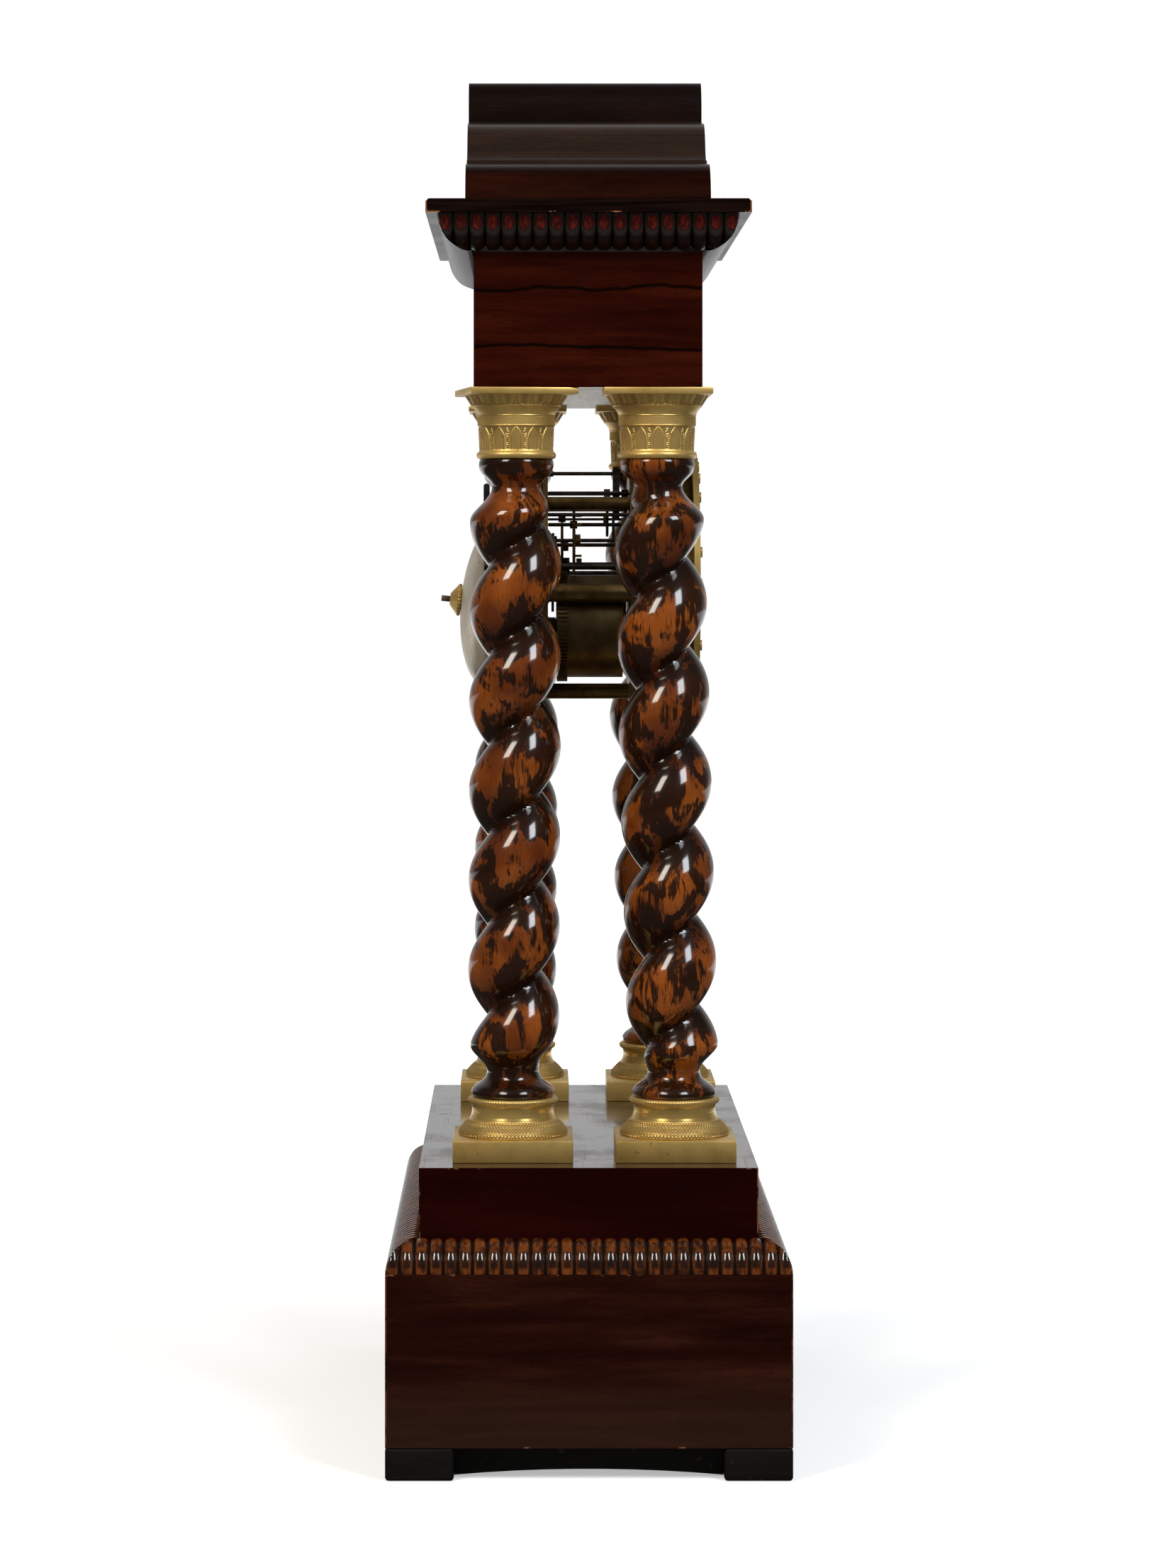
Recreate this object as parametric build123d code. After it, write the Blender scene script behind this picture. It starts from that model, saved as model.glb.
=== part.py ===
from build123d import *
import os
from math import atan2, cos, degrees, hypot, pi, radians, sin, sqrt

os.makedirs("parts", exist_ok=True)

# Portico clock: a bracket of veneered boxes carries four twisted columns, and the
# columns carry a frieze from which a round two-train movement hangs.
# X runs across the dial, -Y is the front, +Z is up, and the clock stands on Z = 0.

# Sizes that everything takes (millimetres)
overrun = 1.0
shaft_clearance = 0.05
sliding_gap = 0.3

# Base: feet, rails, box, step
base_width = 300.0
base_depth = 160.0
base_box_height = 68.0
base_wall = 12.0
base_edge_radius = 1.2
foot_height = 13.0
foot_side = 27.0
rail_inset = 9.0
rail_thickness = 10.0
rail_height = 12.2
rail_arch_rise = 2.3
bottom_board_thickness = 8.0
base_moulding_radius = 13.0
base_reed_pitch = 5.75
reed_depth = 1.3
step_height = 40.0
step_wall = 11.0

# Columns, which stand at shares of the base's width and depth
column_x_share = 1 / 3
foot_rear_share = 0.1875
foot_front_share = -0.21875
head_y_rear = 28.7
head_y_front = -28.1
plinth_side = 48.0
plinth_height = 8.8
plinth_edge = 0.5
column_base_height = 23.9
cushion_radius = 22.1
shaft_length = 256.7
capital_height = 28.2
capital_radius = 21.1
abacus_side = 43.5
abacus_thickness = 2.6
twist_tube_radius = 14.1
twist_offset = 4.4
twist_pitch = 36.1
front_twist_start = 77.5
rear_twist_start = 302.4
twist_run_in = 19.0
sections_per_turn = 14
shaft_foot_radius = 16.95
shaft_foot_height = 12.0
shaft_collar_radius = 14.9
shaft_collar_height = 13.5
tie_rod_radius = 3.0
tie_rod_bore_gap = 0.5
tie_nut_radius = 4.6
tie_nut_height = 4.0

# Frieze, cornice, pediment
frieze_reach = 18.5
frieze_depth = 91.3
frieze_height = 54.0
frieze_wall = 8.0
soffit_thickness = 9.0
cornice_radius = 14.3
cornice_reed_pitch = 6.3
slab_overhang = 4.5
slab_thickness = 5.6
pediment_depth = 98.0
lower_tier_overhang = 1.5
lower_tier_cove_share = 0.389
lower_tier_height = 16.4
tier_ledge = 1.7
middle_tier_width = 158.0
middle_tier_height = 20.5
top_ledge = 2.6
top_roll_width = 46.0
top_roll_height = 17.6

# Movement: plates, pillars, trains
movement_height = 351.0
plate_radius = 49.8
plate_thickness = 2.0
back_plate_front = 15.7
front_plate_back = -18.6
side_pillar_x = 45.3
side_pillar_drop = -3.6
side_pillar_radius = 3.9
lower_pillar_drop = -45.8
lower_pillar_radius = 3.25
upper_pillar_x = 30.6
upper_pillar_rise = 33.7
upper_pillar_radius = 2.75
pillar_rivet_radius = 1.6
arbor_radius = 0.8
fine_arbor_radius = 0.55
thick_arbor_radius = 1.6
pivot_radius = 0.4
pivot_bush = 0.35

# Gear teeth, in modules and in shares of the tooth pitch
wheel_tip_share = 0.11
wheel_root_share = 0.25
leaf_tip_share = 0.08
leaf_root_share = 0.16
wheel_addendum_share = 1.1
wheel_dedendum_share = 1.2
leaf_addendum_share = 0.7
leaf_dedendum_share = 1.35
wheel_thickness = 1.1
rim_width = 1.7
spoke_width = 1.7
spoke_count = 4
hub_radius = 2.6

barrel_teeth = 84
barrel_pinion = 12
going_barrel_module = 0.46
strike_barrel_module = 0.54
intermediate_teeth = 78
centre_pinion = 10
intermediate_module = 0.4
centre_teeth = 74
third_pinion = 8
centre_module = 0.4
third_teeth = 66
escape_pinion = 7
third_module = 0.3
strike_teeth = 66
pin_wheel_pinion = 8
strike_module = 0.41
pin_wheel_teeth = 63
locking_pinion = 7
pin_wheel_module = 0.4
locking_teeth = 60
fly_pinion = 7
locking_module = 0.4
escape_teeth = 30
escape_radius = 7.4

barrel_x = 21.8
barrel_drop = -17.8
going_barrel_radius = 18.0
strike_barrel_radius = 21.5
barrel_front = -15.7
barrel_wheel_front = 7.5
barrel_wheel_thickness = 4.4
barrel_wall = 1.2
barrel_cap = 1.4
barrel_hub_radius = 3.2
barrel_core_radius = 5.0
winding_arbor_radius = 2.4
winding_square = 4.2
winding_square_front = -40.0
ratchet_radius = 8.4
ratchet_teeth = 18
ratchet_depth = 1.3
ratchet_thickness = 2.0
click_length = 11.0
click_width = 2.6
click_angle = 55.0
mainspring_thickness = 0.5
mainspring_turns = 9

back_layer = 12.9
third_layer = 9.0
pin_wheel_layer = 4.2
front_layer = -17.5
escape_layer = -10.2
fly_layer = -14.6
anchor_height = 38.2
regulator_height = 46.8
fly_x = -16.2
fly_lean = 7.5
fly_blade_radius = 11.2
fly_blade_depth = 2.9
fly_blade_thickness = 0.7
hammer_arbor_x = -39.5
hammer_arbor_rise = 7.5
lever_arbor_x = -36.5
lever_arbor_rise = 28.9

# Front of the movement: motion work, dial, bezel
motion_module = 0.5
cannon_leaves = 12
minute_wheel_teeth = 36
hour_pinion_leaves = 10
hour_wheel_teeth = 40
motion_plate_gap = 0.9
motion_wheel_thickness = 1.2
cannon_wall = 0.55
hour_pipe_wall = 0.6
pan_radius = 51.8
pan_back = -36.9
pan_front = -44.9
pan_wall = 1.2
dial_radius = 50.2
dial_front = -42.6
dial_thickness = 1.2
winding_hole_radius = 3.4
dial_centre_hole = 3.3
bezel_inner_radius = 46.0
bezel_outer_radius = 56.0
bezel_front = -47.4
glass_thickness = 1.0
glass_radius = 48.5
hinge_pin_radius = 0.7
hinge_knuckle_radius = 1.5
hinge_length = 16.0
catch_knob_radius = 2.4
hour_hand_length = 25.0
minute_hand_length = 37.0
hand_thickness = 0.5
dial_pillar_x = 36.0
dial_pillar_z = 24.0
dial_pillar_radius = 2.5
hanger_web_width = 44.0
hanger_web_thickness = 4.0
hanger_web_back = -39.6
hanger_foot_width = 70.0
hanger_foot_depth = 15.0
hanger_foot_front = -45.0
hanger_foot_thickness = 3.0
hanger_screw_radius = 1.6

# Back of the movement: cock, pendulum, crutch, bell
cock_half_width = 14.0
cock_leg_width = 4.0
cock_plate_front = 22.8
cock_plate_thickness = 2.0
cock_foot_drop = 6.0
cock_top_rise = 13.6
cock_arm_thickness = 3.0
pendulum_y = 27.6
suspension_width = 4.4
suspension_strip = 0.3
chop_height = 4.0
chop_depth = 3.0
pendulum_rod_radius = 1.2
pendulum_length = 165.0
bob_radius = 30.0
bob_thickness = 8.4
bob_edge = 1.6
rating_nut_radius = 4.0
rating_nut_height = 3.2
rod_below_bob = 9.0
crutch_front = 20.4
crutch_thickness = 1.3
crutch_length = 46.0
fork_gap = 0.3
count_wheel_front = 18.5
count_wheel_radius = 15.0
count_wheel_thickness = 1.2
count_slot_depth = 2.2
bell_radius = 36.5
bell_depth = 14.7
bell_wall = 1.6
bell_tilt = 5.5
bell_mouth_y = 37.9
bell_mouth_drop = -8.4
bell_stud_radius = 1.25
bell_nut_radius = 6.9
bell_nut_height = 4.8
bell_arm_radius = 1.7
bell_arm_x = 34.0
bell_arm_drop = -20.0
bell_arm_y = 33.0
bell_arm_bend = 5.0
hammer_head_front = 40.3
hammer_head_thickness = 2.6
hammer_head_width = 6.0
hammer_head_height = 16.2
hammer_head_x = -5.0
hammer_head_rise = 26.3
hammer_arm_width = 2.0

# Heights that follow
box_top = foot_height + base_box_height
step_top = box_top + step_height
shaft_bottom = step_top + column_base_height
shaft_top = shaft_bottom + shaft_length
frieze_bottom = shaft_top + capital_height
frieze_top = frieze_bottom + frieze_height
slab_bottom = frieze_top + cornice_radius
slab_top = slab_bottom + slab_thickness
step_width = base_width - 2 * base_moulding_radius
step_depth = base_depth - 2 * base_moulding_radius
column_x = base_width * column_x_share
foot_y_rear = base_depth * foot_rear_share
foot_y_front = base_depth * foot_front_share
frieze_width = 2 * (column_x + frieze_reach)
lower_tier_width = frieze_width + 2 * lower_tier_overhang
back_plate_back = back_plate_front + plate_thickness
front_plate_front = front_plate_back - plate_thickness
anchor_z = movement_height + anchor_height

nodes = {}


def block(x0, x1, y0, y1, z0, z1):
    """A box between two corners."""
    return Pos((x0 + x1) / 2, (y0 + y1) / 2, (z0 + z1) / 2) * Box(x1 - x0, y1 - y0, z1 - z0)


def rod_y(x, z, radius, y0, y1):
    """A round bar along Y."""
    plane = Plane(origin=(x, y0, z), x_dir=(1, 0, 0), z_dir=(0, 1, 0))
    return extrude(plane * Circle(radius), amount=y1 - y0)


def rod_z(x, y, radius, z0, z1):
    """A round bar along Z."""
    return Pos(x, y, (z0 + z1) / 2) * Cylinder(radius, z1 - z0)


def plate_y(outline, y0, y1):
    """A flat piece across Y, from a closed list of (x, z) points."""
    wire = Wire.make_polygon([(x, y0, z) for x, z in outline])
    return extrude(Face(wire), amount=y1 - y0, dir=(0, 1, 0))


def group(*shapes):
    """Several separate solids under one name."""
    solids = []
    for shape in shapes:
        solids.extend(shape.solids())
    return Compound(children=solids)


def single(shape):
    """The one solid of a finished piece."""
    return shape.solids()[0]


def meeting(first, first_distance, second, second_distance, side):
    """The point at two given distances from two centres, on one side of their line."""
    dx = second[0] - first[0]
    dz = second[1] - first[1]
    span = hypot(dx, dz)
    along = (first_distance**2 - second_distance**2 + span**2) / (2 * span)
    across = side * sqrt(first_distance**2 - along**2)
    return (
        first[0] + (dx * along - dz * across) / span,
        first[1] + (dz * along + dx * across) / span,
    )


def bearing(start, end):
    """The angle of the line from one centre to another."""
    return atan2(end[1] - start[1], end[0] - start[0])


# Feet, rails and bottom board
foot_x = base_width / 2 - foot_side
foot_y = base_depth / 2 - foot_side
feet = []
for x_sign in (-1, 1):
    for y_sign in (-1, 1):
        foot = Box(foot_side, foot_side, foot_height)
        x = x_sign * (foot_x + foot_side / 2)
        y = y_sign * (foot_y + foot_side / 2)
        feet.append(Pos(x, y, foot_height / 2) * foot)
nodes["block_feet"] = group(*feet)


def arched_rail(length):
    """A rail whose lower edge rises in a shallow arc, lying along X with its top at zero."""
    low = -rail_height
    crown = -rail_height + rail_arch_rise
    half = length / 2
    edges = [
        ThreePointArc((-half, 0, low), (0, 0, crown), (half, 0, low)),
        Line((half, 0, low), (half, 0, 0)),
        Line((half, 0, 0), (-half, 0, 0)),
        Line((-half, 0, 0), (-half, 0, low)),
    ]
    return extrude(Face(Wire(edges)), amount=rail_thickness, dir=(0, 1, 0))


long_rail = arched_rail(base_width - 2 * foot_side)
short_rail = Rot(0, 0, 90) * arched_rail(base_depth - 2 * foot_side)
rails = [
    Pos(0, -base_depth / 2 + rail_inset, foot_height) * long_rail,
    Pos(0, base_depth / 2 - rail_inset - rail_thickness, foot_height) * long_rail,
    Pos(-base_width / 2 + rail_inset + rail_thickness, 0, foot_height) * short_rail,
    Pos(base_width / 2 - rail_inset, 0, foot_height) * short_rail,
]


def rod_line(x_sign, y_sign):
    """Where a column's axis crosses its foot and its head."""
    x = x_sign * column_x
    foot = foot_y_front if y_sign < 0 else foot_y_rear
    head = head_y_front if y_sign < 0 else head_y_rear
    return x, foot, head


def axis_y(foot, head, z):
    """The Y of a slightly leaning column axis at a height."""
    share = (z - shaft_bottom) / shaft_length
    return foot + (head - foot) * share


def leaning_rod(x, foot, head, radius, z0, z1):
    """A round bar along a column's axis, its ends level."""
    low = Pos(x, axis_y(foot, head, z0), z0) * Circle(radius)
    high = Pos(x, axis_y(foot, head, z1), z1) * Circle(radius)
    return Solid.make_loft([low.wire(), high.wire()], True)


corners = [(-1, -1), (1, -1), (-1, 1), (1, 1)]
columns = [rod_line(x_sign, y_sign) for x_sign, y_sign in corners]
rod_bottom = box_top - base_wall - tie_nut_height - overrun
rod_top = frieze_bottom + soffit_thickness + tie_nut_height + overrun
bore_radius = tie_rod_radius + tie_rod_bore_gap


def bored(piece, z0, z1):
    """A board or casting with the four rod holes through it."""
    for x, foot, head in columns:
        piece = piece - leaning_rod(x, foot, head, bore_radius, z0 - overrun, z1 + overrun)
    return piece


# Base box: four walls and a top board, closed from below by the bottom board
base_block = block(-base_width / 2, base_width / 2, -base_depth / 2, base_depth / 2, foot_height, box_top)
base_block = fillet(base_block.edges().filter_by(Axis.Z), base_edge_radius)
inner_x = base_width / 2 - base_wall
inner_y = base_depth / 2 - base_wall
hollow = block(-inner_x, inner_x, -inner_y, inner_y, foot_height - overrun, box_top - base_wall)
board = block(-inner_x, inner_x, -inner_y, inner_y, foot_height, foot_height + bottom_board_thickness)
nodes["base_carcass"] = single(bored(base_block - hollow, box_top - base_wall, box_top))
nodes["apron_frame"] = group(board, *rails)

# Upper step: a smaller hollow box that the columns stand on
step_block = block(-step_width / 2, step_width / 2, -step_depth / 2, step_depth / 2, box_top, step_top)
step_x = step_width / 2 - step_wall
step_y = step_depth / 2 - step_wall
step_hollow = block(-step_x, step_x, -step_y, step_y, box_top - overrun, step_top - step_wall)
nodes["upper_step"] = single(bored(step_block - step_hollow, step_top - step_wall, step_top))


def reeded_strip(length, radius, pitch):
    """A quarter-round strip along X whose rounded face is cut into reeds.

    It fills the quarter from -Y round to +Z of its back lower edge, and its ends are
    mitred at 45 degrees, widest at the outside.
    """
    count = round(length / pitch)
    step = length / count
    half = length / 2
    groove = radius - reed_depth
    edges = [Line((-half, 0, 0), (-half, -groove, 0))]
    for index in range(count):
        left = -half + index * step
        crest = (left + step / 2, -radius, 0)
        edges.append(ThreePointArc((left, -groove, 0), crest, (left + step, -groove, 0)))
    edges.append(Line((half, -groove, 0), (half, 0, 0)))
    edges.append(Line((half, 0, 0), (-half, 0, 0)))
    strip = revolve(Face(Wire(edges)), Axis.X, -90)
    wedge_points = [(-half, -radius), (half, -radius), (half - radius, 0), (-half + radius, 0)]
    wedge = extrude(Face(Wire.make_polygon([(x, y, 0) for x, y in wedge_points])), amount=radius + overrun)
    return strip & wedge


def reeded_frame(width, depth, radius, pitch):
    """Four mitred strips round a rectangle, with their back lower edges at Z = 0."""
    strips = []
    for length, other, angle in ((width, depth, 0), (depth, width, 90), (width, depth, 180), (depth, width, 270)):
        strip = Pos(0, -other / 2 + radius, 0) * reeded_strip(length, radius, pitch)
        strips.append(Rot(0, 0, angle) * strip)
    return strips


base_strips = reeded_frame(base_width, base_depth, base_moulding_radius, base_reed_pitch)
nodes["base_reed_moulding"] = group(*[Pos(0, 0, box_top) * strip for strip in base_strips])

# Cast brass column bases: a square plinth and a turned foot, bored for the rod
base_turning_shares = [
    (0.99, 0.0, 0.0),
    (0.995, 0.08, 0.01),
    (0.82, 0.4, 0.045),
    (0.797, 0.41, 0.0),
    (0.772, 0.5, -0.004),
    (0.772, 0.83, -0.024),
    (0.815, 0.84, 0.0),
    (0.815, 1.0, 0.012),
]


def turned(shares, radius, height):
    """A turned piece: shares of radius and height, and of radius for each curve's swell."""
    edges = [Line((0, 0, 0), (radius * shares[0][0], 0, 0))]
    last = (radius * shares[0][0], height * shares[0][1])
    for radius_share, height_share, swell_share in shares[1:]:
        point = (radius * radius_share, height * height_share)
        start = (last[0], 0, last[1])
        end = (point[0], 0, point[1])
        if swell_share == 0:
            edges.append(Line(start, end))
        else:
            length = hypot(point[0] - last[0], point[1] - last[1])
            out_x = (point[1] - last[1]) / length
            out_z = -(point[0] - last[0]) / length
            swell = radius * swell_share
            middle = ((last[0] + point[0]) / 2 + out_x * swell, 0, (last[1] + point[1]) / 2 + out_z * swell)
            edges.append(ThreePointArc(start, middle, end))
        last = point
    edges.append(Line((last[0], 0, last[1]), (0, 0, last[1])))
    edges.append(Line((0, 0, last[1]), (0, 0, 0)))
    return revolve(Face(Wire(edges)), Axis.Z, 360)


turning_height = column_base_height - plinth_height
bases = []
for x, foot, head in columns:
    plinth = Box(plinth_side, plinth_side, plinth_height)
    plinth = chamfer(plinth.edges().group_by(Axis.Z)[-1], plinth_edge)
    y = axis_y(foot, head, shaft_bottom)
    casting = Pos(x, y, step_top + plinth_height / 2) * plinth
    casting = casting + Pos(x, y, step_top + plinth_height) * turned(base_turning_shares, cushion_radius, turning_height)
    casting = casting - leaning_rod(x, foot, head, bore_radius, step_top - overrun, shaft_bottom + overrun)
    bases.append(single(casting))
nodes["column_bases"] = group(*bases)

# Cast brass capitals: bead, leaf band, knurled band, flared bell and square abacus
capital_turning_shares = [
    (0.72, 0.0, 0.0),
    (0.72, 0.125, 0.045),
    (0.706, 0.135, 0.0),
    (0.706, 0.51, 0.0),
    (0.737, 0.52, 0.0),
    (0.737, 0.675, 0.0),
    (0.79, 0.75, -0.01),
    (0.83, 0.79, 0.012),
    (1.0, 1.0, -0.02),
]
bell_height = capital_height - abacus_thickness
capitals = []
for x, foot, head in columns:
    y = axis_y(foot, head, shaft_top)
    casting = Pos(x, y, shaft_top) * turned(capital_turning_shares, capital_radius, bell_height)
    abacus = Box(abacus_side, abacus_side, abacus_thickness)
    casting = casting + Pos(x, y, frieze_bottom - abacus_thickness / 2) * abacus
    casting = casting - leaning_rod(x, foot, head, bore_radius, shaft_top - overrun, frieze_bottom + overrun)
    capitals.append(single(casting))
nodes["column_capitals"] = group(*capitals)

# Twisted shafts: a round tube wound on a helix, between a turned foot and a collar
foot_turning_shares = [(0.0, 0.92), (0.18, 1.0), (0.42, 0.95), (0.7, 0.76), (1.0, 0.61)]
collar_turning_shares = [(0.0, 0.95), (0.12, 1.0), (0.35, 0.95), (0.65, 0.76), (1.0, 0.645)]
outline_points = 20
tube_samples = 60


def tube_reach(angle):
    """How far the wound tube reaches from the column's axis, in one direction of a level cut."""
    reach = 0
    for index in range(-tube_samples, tube_samples + 1):
        turn = index / tube_samples * 2 * pi * twist_tube_radius / twist_pitch
        rise = twist_pitch * turn / (2 * pi)
        radius = sqrt(max(twist_tube_radius**2 - rise**2, 0))
        along = twist_offset * cos(turn - angle)
        across = twist_offset * sin(turn - angle)
        if abs(across) < radius:
            reach = max(reach, along + sqrt(radius**2 - across**2))
    return reach


neck_low = shaft_foot_radius * foot_turning_shares[-1][1]
neck_high = shaft_collar_radius * collar_turning_shares[-1][1]
twist_low = shaft_foot_height
twist_high = shaft_length - shaft_collar_height


def smooth(share):
    """A ramp from 0 to 1 with soft ends."""
    share = min(max(share, 0), 1)
    return share * share * (3 - 2 * share)


def shaft_levels():
    """Heights of the level cuts, with the round radius and the strength of the twist at each."""
    levels = []
    for height_share, radius_share in foot_turning_shares[:-1]:
        levels.append((shaft_foot_height * height_share, shaft_foot_radius * radius_share, 0))
    span = twist_high - twist_low
    count = round(span / twist_pitch * sections_per_turn)
    for index in range(count + 1):
        height = twist_low + span * index / count
        strength = smooth((height - twist_low) / twist_run_in) * smooth((twist_high - height) / twist_run_in)
        neck = neck_low if height < shaft_length / 2 else neck_high
        levels.append((height, neck, strength))
    for height_share, radius_share in reversed(collar_turning_shares[:-1]):
        height = shaft_length - shaft_collar_height * height_share
        levels.append((height, shaft_collar_radius * radius_share, 0))
    return levels


def twisted_shaft(foot, head, start):
    """One shaft about X = 0, its feet at Z = 0, leaning from the foot's Y to the head's."""
    wires = []
    for height, neck, strength in shaft_levels():
        turn = radians(start) + 2 * pi * height / twist_pitch
        y = foot + (head - foot) * height / shaft_length
        points = []
        for index in range(outline_points):
            angle = 2 * pi * index / outline_points
            radius = neck + (tube_reach(angle - turn) - neck) * strength
            points.append((radius * cos(angle), y + radius * sin(angle), height))
        wires.append(Wire(Spline(*points, periodic=True)))
    return Solid.make_loft(wires, True)


shafts = []
shaft_by_line = {}
for x, foot, head in columns:
    if (foot, head) not in shaft_by_line:
        start = front_twist_start if head == head_y_front else rear_twist_start
        shaft_by_line[(foot, head)] = twisted_shaft(foot, head, start)
    shaft = Pos(x, 0, shaft_bottom) * shaft_by_line[(foot, head)]
    shaft = shaft - leaning_rod(x, foot, head, bore_radius, shaft_bottom - overrun, shaft_top + overrun)
    shafts.append(single(shaft))
nodes["column_shafts"] = group(*shafts)

# Tie rods through the columns, with a hexagonal nut inside the base and the frieze
rods = [leaning_rod(x, foot, head, tie_rod_radius, rod_bottom, rod_top) for x, foot, head in columns]
nodes["tie_rods"] = group(*rods)
nuts = []
for x, foot, head in columns:
    for low in (box_top - base_wall - tie_nut_height, frieze_bottom + soffit_thickness):
        y = axis_y(foot, head, low + tie_nut_height / 2)
        nut = extrude(Pos(x, y, low) * RegularPolygon(tie_nut_radius, 6), amount=tie_nut_height)
        hole = leaning_rod(x, foot, head, tie_rod_radius + shaft_clearance, low - overrun, low + tie_nut_height + overrun)
        nuts.append(single(nut - hole))
nodes["tie_rod_nuts"] = group(*nuts)

# Frieze: a veneered box, open above, with a soffit board let in flush below
half_x = frieze_width / 2
half_y = frieze_depth / 2
frieze = block(-half_x, half_x, -half_y, half_y, frieze_bottom, frieze_top)
in_x = half_x - frieze_wall
in_y = half_y - frieze_wall
frieze = frieze - block(-in_x, in_x, -in_y, in_y, frieze_bottom - overrun, frieze_top + overrun)
nodes["frieze_carcass"] = single(frieze)
soffit = block(-in_x, in_x, -in_y, in_y, frieze_bottom, frieze_bottom + soffit_thickness)
nodes["frieze_soffit"] = single(bored(soffit, frieze_bottom, frieze_bottom + soffit_thickness))

# Cornice: a reeded ovolo that swells outwards under the slab
cornice_width = frieze_width + 2 * cornice_radius
cornice_depth = frieze_depth + 2 * cornice_radius
cornice_strips = []
for strip in reeded_frame(cornice_width, cornice_depth, cornice_radius, cornice_reed_pitch):
    cornice_strips.append(Pos(0, 0, slab_bottom) * mirror(strip, about=Plane.XY))
nodes["cornice_reed_moulding"] = group(*cornice_strips)
slab_x = cornice_width / 2 + slab_overhang
slab_y = cornice_depth / 2 + slab_overhang
slab = block(-slab_x, slab_x, -slab_y, slab_y, slab_bottom, slab_top)
nodes["cornice_slab"] = chamfer(slab.edges().group_by(Axis.Z)[-1], base_edge_radius)


def moulded_tier(points, z0):
    """A tier of the pediment: half an outline of (x, z, swell), mirrored and run along Y."""
    edges = []
    last = None
    for x, z, swell in points:
        if last is not None:
            for sign in (-1, 1):
                start = (sign * last[0], -pediment_depth / 2, z0 + last[1])
                end = (sign * x, -pediment_depth / 2, z0 + z)
                if swell == 0:
                    edges.append(Line(start, end))
                else:
                    length = hypot(x - last[0], z - last[1])
                    out_x = (z - last[1]) / length
                    out_z = -(x - last[0]) / length
                    middle_x = (last[0] + x) / 2 + out_x * swell
                    middle_z = (last[1] + z) / 2 + out_z * swell
                    middle = (sign * middle_x, -pediment_depth / 2, z0 + middle_z)
                    edges.append(ThreePointArc(start, middle, end))
        last = (x, z)
    first = points[0]
    edges.append(Line((-first[0], -pediment_depth / 2, z0 + first[1]), (first[0], -pediment_depth / 2, z0 + first[1])))
    edges.append(Line((-last[0], -pediment_depth / 2, z0 + last[1]), (last[0], -pediment_depth / 2, z0 + last[1])))
    return extrude(Face(Wire.combine(edges)[0]), amount=pediment_depth, dir=(0, 1, 0))


def tier_points(shares, width, height):
    """An outline in shares of a tier's half width and height, swells in shares of height."""
    half = width / 2
    return [(half * x, height * z, height * swell) for x, z, swell in shares]


lower_inner = middle_tier_width / 2 + tier_ledge
lower_cove = lower_inner + (lower_tier_width / 2 - lower_inner) * lower_tier_cove_share
lower_tier_shares = [(1.0, 0.0, 0.0), (1.0, 0.12, 0.0), (2 * lower_cove / lower_tier_width, 1.0, 0.32)]
middle_tier_shares = [(1.0, 0.0, 0.0), (1.0, 0.1, 0.0), (0.8, 0.42, -0.12), (0.5, 1.0, 0.2)]
top_roll_shares = [(1.0, 0.0, 0.0), (1.0, 0.3, 0.0), (0.62, 1.0, 0.14)]
lower_top = slab_top + lower_tier_height
lower_points = tier_points(lower_tier_shares, lower_tier_width, lower_tier_height)
lower_points.append((lower_inner, lower_tier_height, 0))
lower_points.append((lower_inner, lower_tier_height + tier_ledge, 0))
nodes["pediment_lower"] = moulded_tier(lower_points, slab_top)
middle_bottom = lower_top + tier_ledge
middle_points = tier_points(middle_tier_shares, middle_tier_width, middle_tier_height)
middle_points.append((top_roll_width / 2 + top_ledge, middle_tier_height, 0))
middle_points.append((top_roll_width / 2 + top_ledge, middle_tier_height + top_ledge, 0))
nodes["pediment_middle"] = moulded_tier(middle_points, middle_bottom)
top_bottom = middle_bottom + middle_tier_height + top_ledge
nodes["pediment_top"] = moulded_tier(tier_points(top_roll_shares, top_roll_width, top_roll_height), top_bottom)

# Train centres, as (x, height above the dial's centre)
centre = (0.0, 0.0)


def distance(teeth, leaves, module):
    """Distance between the arbors of a wheel and its pinion."""
    return (teeth + leaves) * module / 2


going_barrel_at = (barrel_x, barrel_drop)
strike_barrel_at = (-barrel_x, barrel_drop)
going_reach = distance(barrel_teeth, barrel_pinion, going_barrel_module)
strike_reach = distance(barrel_teeth, barrel_pinion, strike_barrel_module)
centre_reach = distance(intermediate_teeth, centre_pinion, intermediate_module)
going_intermediate_at = meeting(going_barrel_at, going_reach, centre, centre_reach, -1)
strike_intermediate_at = meeting(strike_barrel_at, strike_reach, centre, centre_reach, 1)
third_at = (0.0, distance(centre_teeth, third_pinion, centre_module))
escape_at = (0.0, third_at[1] + distance(third_teeth, escape_pinion, third_module))
anchor_at = (0.0, anchor_height)
fly_at = (fly_x, anchor_height)
fly_reach = distance(locking_teeth, fly_pinion, locking_module)
locking_at = (
    fly_x + fly_reach * sin(radians(fly_lean)),
    anchor_height - fly_reach * cos(radians(fly_lean)),
)
locking_reach = distance(pin_wheel_teeth, locking_pinion, pin_wheel_module)
pin_reach = distance(strike_teeth, pin_wheel_pinion, strike_module)
pin_wheel_at = meeting(locking_at, locking_reach, strike_intermediate_at, pin_reach, -1)
hammer_at = (hammer_arbor_x, hammer_arbor_rise)
lever_at = (lever_arbor_x, lever_arbor_rise)
regulator_at = (0.0, regulator_height)
minute_wheel_reach = distance(minute_wheel_teeth, cannon_leaves, motion_module)
minute_wheel_at = (-minute_wheel_reach * cos(pi / 4), minute_wheel_reach * sin(pi / 4))


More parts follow.
